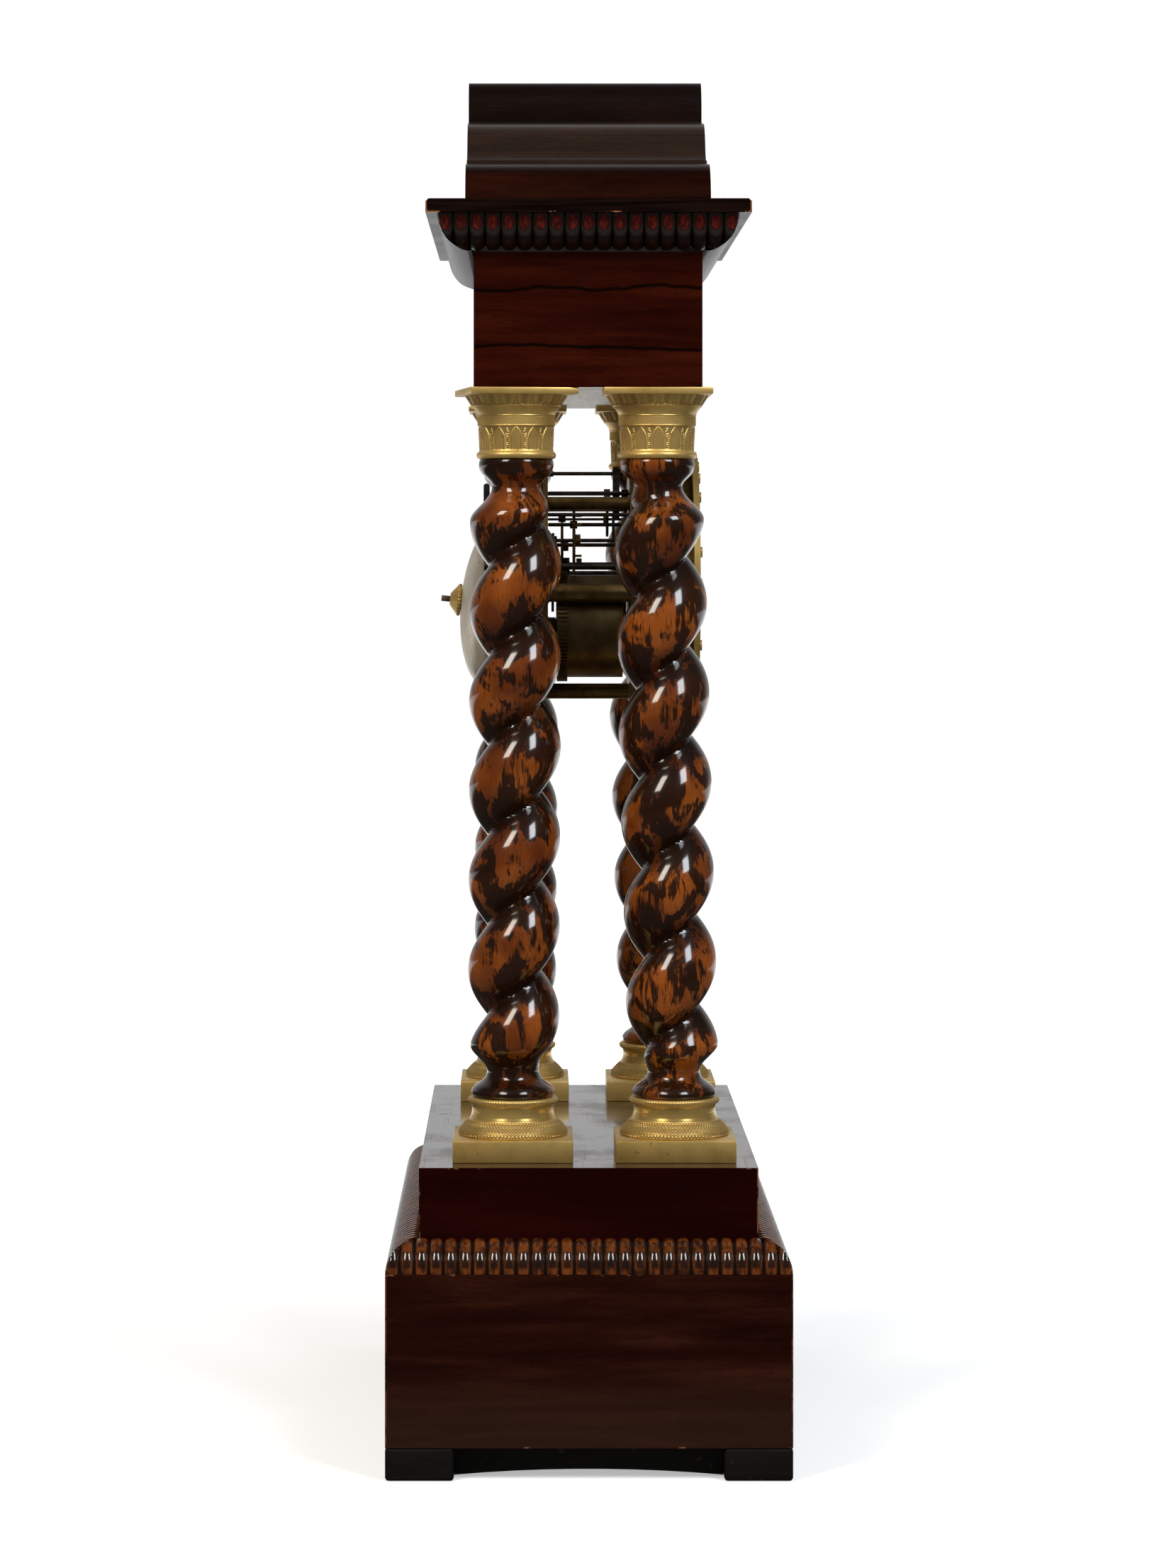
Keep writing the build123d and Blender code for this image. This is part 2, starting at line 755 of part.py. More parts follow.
def toothed_outline(teeth, radius, addendum, dedendum, tip_share, root_share, tooth_angle):
    """Points of a gear about the origin, one tooth centred on the given angle."""
    pitch = 2 * pi / teeth
    points = []
    for index in range(teeth):
        middle = tooth_angle + index * pitch
        for reach, share in (
            (radius - dedendum, -root_share),
            (radius + addendum, -tip_share),
            (radius + addendum, tip_share),
            (radius - dedendum, root_share),
        ):
            angle = middle + share * pitch
            points.append((reach * cos(angle), reach * sin(angle)))
    return points


def moved(points, at):
    """Outline points moved to an arbor of the movement."""
    return [(x + at[0], z + movement_height + at[1]) for x, z in points]


def gear_wheel(at, teeth, module, y0, toward, thickness=wheel_thickness, crossed=True):
    """A brass wheel with a gap facing the pinion that it drives."""
    radius = teeth * module / 2
    angle = toward + pi / teeth
    outline = toothed_outline(
        teeth, radius, wheel_addendum_share * module, wheel_dedendum_share * module,
        wheel_tip_share, wheel_root_share, angle,
    )
    wheel = plate_y(moved(outline, at), y0, y0 + thickness)
    inside = radius - wheel_dedendum_share * module - rim_width
    if crossed:
        z = movement_height + at[1]
        window = rod_y(at[0], z, inside, y0 - overrun, y0 + thickness + overrun)
        window = window - rod_y(at[0], z, hub_radius + spoke_width, y0 - 2 * overrun, y0 + thickness + 2 * overrun)
        for index in range(spoke_count // 2):
            spoke = Box(2 * radius, thickness + 4 * overrun, spoke_width)
            turn = Rot(0, 180 * index / (spoke_count // 2) + degrees(toward), 0)
            window = window - Pos(at[0], y0 + thickness / 2, z) * turn * spoke
        wheel = wheel - window
    return wheel


def gear_pinion(at, leaves, module, y0, y1, toward):
    """A steel pinion with a leaf facing the wheel that drives it."""
    radius = leaves * module / 2
    outline = toothed_outline(
        leaves, radius, leaf_addendum_share * module, leaf_dedendum_share * module,
        leaf_tip_share, leaf_root_share, toward,
    )
    return plate_y(moved(outline, at), y0, y1)


def arbor(at, radius, y0=front_plate_back, y1=back_plate_front):
    """A steel arbor between the plates, with a pivot in each plate."""
    z = movement_height + at[1]
    body = rod_y(at[0], z, radius, y0 + sliding_gap, y1 - sliding_gap)
    return body + rod_y(at[0], z, pivot_radius, y0 - plate_thickness, y1 + plate_thickness)


def collet(at, y0, y1, radius=hub_radius):
    """The brass collet that a wheel sits on."""
    return rod_y(at[0], movement_height + at[1], radius, y0, y1)


collet_length = 2.2
pinion_overhang = 1.0

# Going train
intermediate_back = back_layer + wheel_thickness
piece = arbor(going_intermediate_at, thick_arbor_radius)
piece = piece + gear_pinion(
    going_intermediate_at, barrel_pinion, going_barrel_module,
    barrel_wheel_front - pinion_overhang, barrel_wheel_front + barrel_wheel_thickness + sliding_gap,
    bearing(going_intermediate_at, going_barrel_at),
)
piece = piece + gear_wheel(
    going_intermediate_at, intermediate_teeth, intermediate_module, back_layer,
    bearing(going_intermediate_at, centre),
)
piece = piece + collet(going_intermediate_at, barrel_wheel_front + barrel_wheel_thickness, intermediate_back)
nodes["going_intermediate_wheel"] = single(piece)

cannon_bore = arbor_radius + shaft_clearance
hand_seat_front = dial_front - 1.6
piece = arbor(centre, arbor_radius)
piece = piece + rod_y(0, movement_height, arbor_radius, dial_front - 1.9, front_plate_back + sliding_gap)
piece = piece + gear_pinion(
    centre, centre_pinion, intermediate_module, back_layer - pinion_overhang, intermediate_back + sliding_gap,
    bearing(centre, going_intermediate_at),
)
piece = piece + gear_wheel(centre, centre_teeth, centre_module, front_layer, bearing(centre, third_at))
piece = piece + collet(centre, front_layer, front_layer + collet_length)
nodes["centre_wheel"] = single(piece)

piece = arbor(third_at, arbor_radius)
piece = piece + gear_pinion(
    third_at, third_pinion, centre_module, front_plate_back + sliding_gap,
    front_layer + wheel_thickness + pinion_overhang, bearing(third_at, centre),
)
piece = piece + gear_wheel(third_at, third_teeth, third_module, third_layer, bearing(third_at, escape_at))
piece = piece + collet(third_at, third_layer - collet_length, third_layer + wheel_thickness)
nodes["third_wheel"] = single(piece)

piece = arbor(escape_at, fine_arbor_radius)
piece = piece + gear_pinion(
    escape_at, escape_pinion, third_module, third_layer - pinion_overhang,
    third_layer + wheel_thickness + pinion_overhang, bearing(escape_at, third_at),
)
escape_points = []
escape_root_share = 0.78
escape_undercut_share = 0.12
for index in range(escape_teeth):
    angle = 2 * pi * index / escape_teeth
    lean = 2 * pi / escape_teeth * escape_undercut_share
    width = 2 * pi / escape_teeth
    root = escape_radius * escape_root_share
    escape_points.append((root * cos(angle), root * sin(angle)))
    escape_points.append((escape_radius * cos(angle + width / 2 - lean), escape_radius * sin(angle + width / 2 - lean)))
    escape_points.append((escape_radius * cos(angle + width / 2), escape_radius * sin(angle + width / 2)))
wheel = plate_y(moved(escape_points, escape_at), escape_layer, escape_layer + wheel_thickness)
piece = piece + wheel + collet(escape_at, escape_layer, escape_layer + collet_length)
nodes["escape_wheel"] = single(piece)

# Anchor and crutch: one arbor, pivoted in the front plate and in the back cock
anchor_front = escape_layer - 0.7
anchor_depth = 2.6
anchor_gap = 0.6
pallet_angle = 43.0
pallet_width = 1.5
anchor_body = 2.0
anchor_pivot_back = cock_plate_front + cock_plate_thickness
pallet_radius = escape_radius + anchor_gap
pallet_x = pallet_radius * sin(radians(pallet_angle))
pallet_low = escape_at[1] + pallet_radius * cos(radians(pallet_angle))
arm_points = [
    (-anchor_body, anchor_height + anchor_body),
    (anchor_body, anchor_height + anchor_body),
    (pallet_x + pallet_width, pallet_low + anchor_body),
    (pallet_x + pallet_width, pallet_low),
    (pallet_x, pallet_low),
    (pallet_x - pallet_width / 2, pallet_low + anchor_body),
    (0, anchor_height - anchor_body),
    (-pallet_x + pallet_width / 2, pallet_low + anchor_body),
    (-pallet_x, pallet_low),
    (-pallet_x - pallet_width, pallet_low),
    (-pallet_x - pallet_width, pallet_low + anchor_body),
]
piece = plate_y(moved(arm_points, centre), anchor_front, anchor_front + anchor_depth)
piece = piece + rod_y(0, anchor_z, arbor_radius, front_plate_back + sliding_gap, cock_plate_front - sliding_gap)
piece = piece + rod_y(0, anchor_z, pivot_radius, front_plate_back - plate_thickness, anchor_pivot_back)
nodes["pallet_anchor"] = single(piece)

crutch_back = crutch_front + crutch_thickness
crutch_low = anchor_z - crutch_length
crutch_width = 2.6
fork_inner = pendulum_rod_radius + fork_gap
fork_outer = fork_inner + crutch_thickness
fork_height = 3.0
piece = rod_y(0, anchor_z, crutch_width, crutch_front, crutch_back)
piece = piece + block(-crutch_width / 2, crutch_width / 2, crutch_front, crutch_back, crutch_low, anchor_z)
piece = piece + block(-fork_outer, fork_outer, crutch_front, crutch_back, crutch_low, crutch_low + fork_height)
fork_back = pendulum_y + pendulum_rod_radius + fork_gap
for sign in (-1, 1):
    tine = block(fork_inner, fork_outer, crutch_front, fork_back, crutch_low, crutch_low + fork_height)
    piece = piece + (tine if sign > 0 else mirror(tine, about=Plane.YZ))
piece = piece - rod_y(0, anchor_z, arbor_radius, crutch_front - overrun, crutch_back + overrun)
nodes["crutch"] = single(piece)

# Barrels, with the mainspring coiled inside, and the arbors that wind them
barrel_back = barrel_wheel_front + barrel_wheel_thickness
core_front = barrel_front + barrel_cap + sliding_gap
core_back = barrel_wheel_front - sliding_gap
spring_front = core_front + sliding_gap
spring_back = core_back - sliding_gap
spring_inner = barrel_core_radius + sliding_gap


def mainspring(x, z, drum_radius):
    """A flat strip coiled in half turns about two centres, lying inside a barrel."""
    room = drum_radius - barrel_wall - spring_inner - 2 * sliding_gap - mainspring_thickness
    spring_growth = room / mainspring_turns / 2
    outer = []
    inner = []
    for half in range(2 * mainspring_turns - 1):
        radius = spring_inner + half * spring_growth
        shift = 0 if half % 2 == 0 else spring_growth
        side = 1 if half % 2 == 0 else -1
        for path, extra in ((inner, 0), (outer, mainspring_thickness)):
            reach = radius + extra
            start = (x + shift + side * reach, spring_front, z)
            middle = (x + shift, spring_front, z + side * reach)
            end = (x + shift - side * reach, spring_front, z)
            path.append(ThreePointArc(start, middle, end))
    caps = [Line(inner[0] @ 0, outer[0] @ 0), Line(inner[-1] @ 1, outer[-1] @ 1)]
    face = Face(Wire.combine(inner + outer + caps)[0])
    return extrude(face, amount=spring_back - spring_front, dir=(0, 1, 0))


def barrel(at, toward, drum_radius, module):
    """Drum with its toothed rim, its cap and its mainspring."""
    x = at[0]
    z = movement_height + at[1]
    drum = rod_y(x, z, drum_radius, barrel_front + barrel_cap, barrel_wheel_front)
    wheel = gear_wheel(at, barrel_teeth, module, barrel_wheel_front, toward, barrel_wheel_thickness, False)
    hollow_radius = drum_radius - barrel_wall
    drum = drum + wheel - rod_y(x, z, hollow_radius, barrel_front, barrel_wheel_front)
    bore = winding_arbor_radius + shaft_clearance
    drum = drum - rod_y(x, z, bore, barrel_front, barrel_back + overrun)
    cap = rod_y(x, z, drum_radius, barrel_front, barrel_front + barrel_cap)
    cap = cap - rod_y(x, z, bore, barrel_front - overrun, barrel_front + barrel_cap + overrun)
    return group(drum, cap, mainspring(x, z, drum_radius))


def ratchet(at):
    """Ratchet wheel on the winding square, in front of the front plate."""
    points = []
    for index in range(ratchet_teeth):
        angle = 2 * pi * index / ratchet_teeth
        width = 2 * pi / ratchet_teeth
        points.append((ratchet_radius * cos(angle), ratchet_radius * sin(angle)))
        low = ratchet_radius - ratchet_depth
        points.append((low * cos(angle + width), low * sin(angle + width)))
    back = front_plate_front - sliding_gap
    return plate_y(moved(points, at), back - ratchet_thickness, back)


def winding_arbor(at):
    """Barrel arbor: core, pivots in both plates, ratchet and the square for the key."""
    x = at[0]
    z = movement_height + at[1]
    piece = rod_y(x, z, barrel_core_radius - sliding_gap, core_front, core_back)
    piece = piece + rod_y(x, z, winding_arbor_radius, front_plate_front, back_plate_back)
    piece = piece + rod_y(x, z, barrel_hub_radius, barrel_back + sliding_gap, back_plate_front - sliding_gap)
    half = winding_square / 2
    piece = piece + block(x - half, x + half, winding_square_front, front_plate_front, z - half, z + half)
    return single(piece + ratchet(at))


toward = bearing(going_barrel_at, going_intermediate_at)
nodes["going_barrel"] = barrel(going_barrel_at, toward, going_barrel_radius, going_barrel_module)
toward = bearing(strike_barrel_at, strike_intermediate_at)
nodes["strike_barrel"] = barrel(strike_barrel_at, toward, strike_barrel_radius, strike_barrel_module)
nodes["going_winding_arbor"] = winding_arbor(going_barrel_at)
nodes["strike_winding_arbor"] = winding_arbor(strike_barrel_at)

# Clicks: sprung pawls on studs in the front plate, tips just clear of the ratchets
click_stud_radius = 1.2
click_back = front_plate_front - sliding_gap
click_front = click_back - ratchet_thickness


def click_at(at, side):
    """Where a click's tip meets its ratchet, and where the click pivots above it."""
    reach = ratchet_radius + sliding_gap
    angle = radians(click_angle) if side > 0 else pi - radians(click_angle)
    tip = (at[0] + reach * cos(angle), at[1] + reach * sin(angle))
    return tip, (tip[0], tip[1] + click_length)


def click(at, side):
    """A pawl from its stud down to its ratchet."""
    tip, pivot = click_at(at, side)
    half = click_width / 2
    points = [
        (tip[0], tip[1]),
        (pivot[0] + half, pivot[1]),
        (pivot[0] - half, pivot[1]),
        (tip[0] - half, tip[1] + half),
    ]
    pawl = plate_y(moved(points, centre), click_front, click_back)
    z = movement_height + pivot[1]
    pawl = pawl + rod_y(pivot[0], z, half + sliding_gap, click_front, click_back)
    hole = rod_y(pivot[0], z, click_stud_radius + shaft_clearance, click_front - overrun, click_back + overrun)
    return single(pawl - hole)


nodes["going_click"] = click(going_barrel_at, 1)
nodes["strike_click"] = click(strike_barrel_at, -1)

# Strike train
piece = arbor(strike_intermediate_at, thick_arbor_radius)
piece = piece + gear_pinion(
    strike_intermediate_at, barrel_pinion, strike_barrel_module,
    barrel_wheel_front - pinion_overhang, barrel_back + sliding_gap,
    bearing(strike_intermediate_at, strike_barrel_at),
)
piece = piece + gear_wheel(
    strike_intermediate_at, strike_teeth, strike_module, back_layer,
    bearing(strike_intermediate_at, pin_wheel_at),
)
piece = piece + collet(strike_intermediate_at, barrel_back, intermediate_back)
count_z = movement_height + strike_intermediate_at[1]
count_back = count_wheel_front + count_wheel_thickness
piece = piece + rod_y(strike_intermediate_at[0], count_z, arbor_radius, back_plate_front - sliding_gap, count_back + pinion_overhang)
nodes["strike_intermediate_wheel"] = single(piece)

count_step_shares = [0.0, 0.0256, 0.0641, 0.1154, 0.1795, 0.2564, 0.3462, 0.4487, 0.5641, 0.6923, 0.8333]
slot_width = 1.6
wheel = rod_y(strike_intermediate_at[0], count_z, count_wheel_radius, count_wheel_front, count_back)
for share in count_step_shares:
    slot = Box(slot_width, count_wheel_thickness + 2 * overrun, 2 * count_slot_depth)
    turned_slot = Rot(0, 360 * share, 0) * Pos(0, 0, count_wheel_radius) * slot
    wheel = wheel - Pos(strike_intermediate_at[0], (count_wheel_front + count_back) / 2, count_z) * turned_slot
wheel = wheel - rod_y(strike_intermediate_at[0], count_z, arbor_radius, count_wheel_front - overrun, count_back + overrun)
nodes["count_wheel"] = single(wheel)

piece = arbor(pin_wheel_at, arbor_radius)
piece = piece + gear_pinion(
    pin_wheel_at, pin_wheel_pinion, strike_module, back_layer - pinion_overhang,
    intermediate_back + sliding_gap, bearing(pin_wheel_at, strike_intermediate_at),
)
piece = piece + gear_wheel(
    pin_wheel_at, pin_wheel_teeth, pin_wheel_module, pin_wheel_layer, bearing(pin_wheel_at, locking_at)
)
piece = piece + collet(pin_wheel_at, pin_wheel_layer - collet_length, pin_wheel_layer + wheel_thickness)
lifting_pins = 10
lifting_pin_radius = 0.5
lifting_pin_length = 2.6
lifting_pin_reach = pin_wheel_teeth * pin_wheel_module / 2 - rim_width
for index in range(lifting_pins):
    angle = 2 * pi * index / lifting_pins
    x = pin_wheel_at[0] + lifting_pin_reach * cos(angle)
    z = movement_height + pin_wheel_at[1] + lifting_pin_reach * sin(angle)
    front = pin_wheel_layer - lifting_pin_length
    piece = piece + rod_y(x, z, lifting_pin_radius, front, pin_wheel_layer + wheel_thickness / 2)
nodes["pin_wheel"] = single(piece)

piece = arbor(locking_at, arbor_radius)
piece = piece + gear_pinion(
    locking_at, locking_pinion, pin_wheel_module, pin_wheel_layer - pinion_overhang,
    pin_wheel_layer + wheel_thickness + pinion_overhang, bearing(locking_at, pin_wheel_at),
)
piece = piece + gear_wheel(locking_at, locking_teeth, locking_module, front_layer, bearing(locking_at, fly_at))
piece = piece + collet(locking_at, front_layer, front_layer + collet_length)
nodes["locking_wheel"] = single(piece)

piece = arbor(fly_at, arbor_radius)
piece = piece + gear_pinion(
    fly_at, fly_pinion, locking_module, front_plate_back + sliding_gap,
    front_layer + wheel_thickness + pinion_overhang, bearing(fly_at, locking_at),
)
fly_z = movement_height + fly_at[1]
piece = piece + block(
    fly_at[0] - fly_blade_thickness / 2, fly_at[0] + fly_blade_thickness / 2,
    fly_layer, fly_layer + fly_blade_depth, fly_z - fly_blade_radius, fly_z + fly_blade_radius,
)
piece = piece + rod_y(fly_at[0], fly_z, 2 * arbor_radius, fly_layer, fly_layer + fly_blade_depth)
nodes["fly"] = single(piece)

# Count lever: an arbor with a detent between the plates and a beak behind them
lever_z = movement_height + lever_at[1]
detent_width = 1.4
detent_length = 10.5
detent_layer = -12.2
detent_thickness = 1.2
beak_gap = 0.4
beak_angle = bearing(lever_at, strike_intermediate_at)
beak_length = hypot(
    strike_intermediate_at[0] - lever_at[0], strike_intermediate_at[1] - lever_at[1]
) - count_wheel_radius - beak_gap
piece = arbor(lever_at, arbor_radius)
piece = piece + plate_y(
    moved([(-detent_width, 0), (detent_width, 0), (0, -detent_length)], lever_at),
    detent_layer, detent_layer + detent_thickness,
)
piece = piece + rod_y(lever_at[0], lever_z, arbor_radius, back_plate_front - sliding_gap, count_back)
beak = [
    (-detent_width * sin(beak_angle), detent_width * cos(beak_angle)),
    (beak_length * cos(beak_angle), beak_length * sin(beak_angle)),
    (detent_width * sin(beak_angle), -detent_width * cos(beak_angle)),
]
piece = piece + plate_y(moved(beak, lever_at), count_wheel_front, count_back)
piece = piece + rod_y(lever_at[0], lever_z, 2 * arbor_radius, count_wheel_front, count_back)
nodes["count_lever"] = single(piece)

# Hammer: arbor with a tail by the lifting pins, and an arm and head behind the bell's shoulder
hammer_z = movement_height + hammer_at[1]
head_back = hammer_head_front + hammer_head_thickness
arm_back = hammer_head_front + hammer_arm_width
tail_angle = bearing(hammer_at, pin_wheel_at)
tail_length = hypot(pin_wheel_at[0] - hammer_at[0], pin_wheel_at[1] - hammer_at[1])
tail_length = tail_length - lifting_pin_reach - lifting_pin_radius - sliding_gap
tail_front = pin_wheel_layer - lifting_pin_length
tail_back = pin_wheel_layer - sliding_gap
tail = [
    (-detent_width * sin(tail_angle), detent_width * cos(tail_angle)),
    (tail_length * cos(tail_angle), tail_length * sin(tail_angle)),
    (detent_width * sin(tail_angle), -detent_width * cos(tail_angle)),
]
piece = arbor(hammer_at, arbor_radius)
piece = piece + plate_y(moved(tail, hammer_at), tail_front, tail_back)
piece = piece + rod_y(hammer_at[0], hammer_z, arbor_radius, back_plate_front, arm_back)
piece = piece + rod_y(hammer_at[0], hammer_z, hammer_arm_width, hammer_head_front, arm_back)
elbow = (-33.0, 28.0)
head_top = hammer_head_rise + hammer_head_height
head_middle = hammer_head_rise + hammer_head_height * 0.6


def bar_points(start, end, width):
    """The four corners of a flat bar between two points."""
    angle = bearing(start, end)
    out_x = -sin(angle) * width / 2
    out_z = cos(angle) * width / 2
    return [
        (start[0] + out_x, start[1] + out_z),
        (end[0] + out_x, end[1] + out_z),
        (end[0] - out_x, end[1] - out_z),
        (start[0] - out_x, start[1] - out_z),
    ]


joint_round = hammer_arm_width / 2
for start, end in ((hammer_at, elbow), (elbow, (hammer_head_x, head_middle))):
    piece = piece + plate_y(moved(bar_points(start, end, hammer_arm_width), centre), hammer_head_front, arm_back)
piece = piece + rod_y(elbow[0], movement_height + elbow[1], joint_round, hammer_head_front, arm_back)
head = block(
    hammer_head_x - hammer_head_width / 2, hammer_head_x + hammer_head_width / 2,
    hammer_head_front, head_back,
    movement_height + hammer_head_rise, movement_height + head_top,
)
head = fillet(head.edges().filter_by(Axis.X).group_by(Axis.Z)[-1], hammer_head_thickness / 2 - shaft_clearance)
piece = piece + head
nodes["hammer"] = single(piece)

# Motion work in front of the front plate
motion_back = front_plate_front - motion_plate_gap
cannon_radius = cannon_bore + cannon_wall
cannon_front_end = hand_seat_front
pinion_front = motion_back - 2 * motion_wheel_thickness
piece = gear_pinion(centre, cannon_leaves, motion_module, pinion_front, motion_back, bearing(centre, minute_wheel_at))
piece = piece + rod_y(0, movement_height, cannon_radius, cannon_front_end, motion_back)
piece = piece - rod_y(0, movement_height, cannon_bore, cannon_front_end - overrun, motion_back + overrun)
nodes["cannon_pinion"] = single(piece)

hour_module = 2 * minute_wheel_reach / (hour_wheel_teeth + hour_pinion_leaves)
hour_wheel_back = pinion_front - sliding_gap
hour_wheel_front = hour_wheel_back - motion_wheel_thickness
minute_wheel_back = motion_back - sliding_gap
minute_wheel_front = minute_wheel_back - motion_wheel_thickness
stud_radius = 1.0
piece = gear_wheel(
    minute_wheel_at, minute_wheel_teeth, motion_module, minute_wheel_front,
    bearing(minute_wheel_at, centre), motion_wheel_thickness, False,
)
piece = piece + gear_pinion(
    minute_wheel_at, hour_pinion_leaves, hour_module, hour_wheel_front - sliding_gap, minute_wheel_front,
    bearing(minute_wheel_at, centre),
)
stud_z = movement_height + minute_wheel_at[1]
stud_bore = stud_radius + shaft_clearance
piece = piece - rod_y(minute_wheel_at[0], stud_z, stud_bore, hour_wheel_front - 2 * overrun, minute_wheel_back + overrun)
nodes["minute_wheel"] = single(piece)

hour_bore = cannon_radius + shaft_clearance
hour_pipe = hour_bore + hour_pipe_wall
hour_pipe_front = dial_front - 0.9
piece = gear_wheel(
    centre, hour_wheel_teeth, hour_module, hour_wheel_front, bearing(centre, minute_wheel_at),
    motion_wheel_thickness, False,
)
piece = piece + rod_y(0, movement_height, hour_pipe, hour_pipe_front, hour_wheel_back)
piece = piece - rod_y(0, movement_height, hour_bore, hour_pipe_front - overrun, hour_wheel_back + overrun)
nodes["hour_wheel"] = single(piece)


def hand(length, boss, bore, y0, y1, width, direction):
    """A pierced steel hand with a round boss, an eye and a pointed tip."""
    eye_share = 0.62
    eye_at = length * eye_share
    points = [(-width / 2, 0), (-width / 2, eye_at), (0, length), (width / 2, eye_at), (width / 2, 0)]
    blade = plate_y([(x, movement_height + z) for x, z in points], y0, y1)
    blade = blade + rod_y(0, movement_height + eye_at, 2 * width, y0, y1)
    blade = blade - rod_y(0, movement_height + eye_at, width, y0 - overrun, y1 + overrun)
    blade = blade + rod_y(0, movement_height, boss, y0, y1)
    blade = blade - rod_y(0, movement_height, bore, y0 - overrun, y1 + overrun)
    turn = Pos(0, 0, movement_height) * Rot(0, direction, 0) * Pos(0, 0, -movement_height)
    return single(turn * blade)


hour_hand_angle = -56.0
minute_hand_angle = 52.0
hand_width = 1.8
hour_boss = 4.2
minute_boss = 3.0
nodes["hour_hand"] = hand(
    hour_hand_length, hour_boss, hour_pipe, hour_pipe_front, hour_pipe_front + hand_thickness,
    hand_width, hour_hand_angle,
)
nodes["minute_hand"] = hand(
    minute_hand_length, minute_boss, cannon_radius, cannon_front_end, cannon_front_end + hand_thickness,
    hand_width, minute_hand_angle,
)

# Dial pan, dial and the pillars that join the pan to the front plate
pan = rod_y(0, movement_height, pan_radius, pan_front, pan_back)
pan = pan - rod_y(0, movement_height, pan_radius - pan_wall, pan_front - overrun, pan_back - pan_wall)
hinge_x = bezel_outer_radius + hinge_knuckle_radius + sliding_gap
hinge_y = (pan_front + bezel_front) / 2


def through_holes(piece, y0, y1):
    """Holes for the hands' pipes, the winding squares and the regulator."""
    piece = piece - rod_y(0, movement_height, dial_centre_hole, y0 - overrun, y1 + overrun)
    for sign in (-1, 1):
        z = movement_height + barrel_drop
        piece = piece - rod_y(sign * barrel_x, z, winding_hole_radius, y0 - overrun, y1 + overrun)
    z = movement_height + regulator_height
    return piece - rod_y(0, z, 2 * arbor_radius, y0 - overrun, y1 + overrun)


knuckle = hinge_length / 3
for sign in (-1, 1):
    low = movement_height + sign * (knuckle + sliding_gap) - knuckle / 2
    lug = block(pan_radius - pan_wall, hinge_x, pan_front, pan_front + 2 * hinge_knuckle_radius, low, low + knuckle)
    eye = rod_z(hinge_x, hinge_y, hinge_knuckle_radius, low, low + knuckle)
    web = block(
        hinge_x - hinge_knuckle_radius / 2, hinge_x + hinge_knuckle_radius, hinge_y, pan_front + hinge_knuckle_radius,
        low, low + knuckle,
    )
    pan = pan + lug + eye + web
pin_low = movement_height - hinge_length / 2 - sliding_gap
pin_high = movement_height + hinge_length / 2 + sliding_gap
pan = pan + rod_z(hinge_x, hinge_y, hinge_pin_radius, pin_low, pin_high)
nodes["dial_pan"] = single(through_holes(pan, pan_back - pan_wall, pan_back))

dial_back = dial_front + dial_thickness
dial = rod_y(0, movement_height, dial_radius, dial_front, dial_back)
dial_foot_radius = 1.5
dial_foot_reach = 38.0
for angle in (90, 210, 330):
    x = dial_foot_reach * cos(radians(angle))
    z = movement_height + dial_foot_reach * sin(radians(angle))
    dial = dial + rod_y(x, z, dial_foot_radius, dial_back, pan_back - pan_wall)
nodes["dial"] = single(through_holes(dial, dial_front, dial_back))

pillars = []
for x_sign in (-1, 1):
    for z_sign in (-1, 1):
        z = movement_height + z_sign * dial_pillar_z
        pillars.append(rod_y(x_sign * dial_pillar_x, z, dial_pillar_radius, pan_back, front_plate_front))
nodes["dial_pillars"] = group(*pillars)

# Bezel: a hinged ring with a rebate for the glass, and a catch knob opposite the hinge
bezel = rod_y(0, movement_height, bezel_outer_radius, bezel_front, pan_front)
bezel = bezel - rod_y(0, movement_height, bezel_inner_radius, bezel_front - overrun, pan_front + overrun)
glass_front = pan_front - glass_thickness
bezel = bezel - rod_y(0, movement_height, glass_radius + shaft_clearance, glass_front, pan_front + overrun)
relief_radius = 1.1
relief_reach = (bezel_inner_radius + bezel_outer_radius) / 2
relief_front = bezel_front - 0.9
petal_count = 24
for index in range(petal_count):
    angle = 2 * pi * index / petal_count
    x = relief_reach * cos(angle)
    z = movement_height + relief_reach * sin(angle)
    bezel = bezel + rod_y(x, z, 2 * relief_radius, relief_front, bezel_front)
for sign in (-1, 1):
    low = movement_height + sign * (knuckle + sliding_gap) - knuckle / 2 - sliding_gap
    clearance = rod_z(hinge_x, hinge_y, hinge_knuckle_radius + sliding_gap, low, low + knuckle + 2 * sliding_gap)
    bezel = bezel - clearance
low = movement_height - knuckle / 2
eye = rod_z(hinge_x, hinge_y, hinge_knuckle_radius, low, low + knuckle)
arm_x = bezel_outer_radius - 2 * hinge_knuckle_radius
eye = eye + block(arm_x, hinge_x, bezel_front + sliding_gap, hinge_y + hinge_pin_radius, low, low + knuckle)
bezel = bezel + eye
bezel = bezel - rod_z(hinge_x, hinge_y, hinge_pin_radius + shaft_clearance, low - overrun, low + knuckle + overrun)
knob_y = (pan_front + bezel_front) / 2
bezel = bezel + Pos(-bezel_outer_radius, knob_y, movement_height) * Sphere(catch_knob_radius / 2)
nodes["bezel"] = single(bezel)
nodes["bezel_glass"] = rod_y(0, movement_height, glass_radius, glass_front, pan_front)

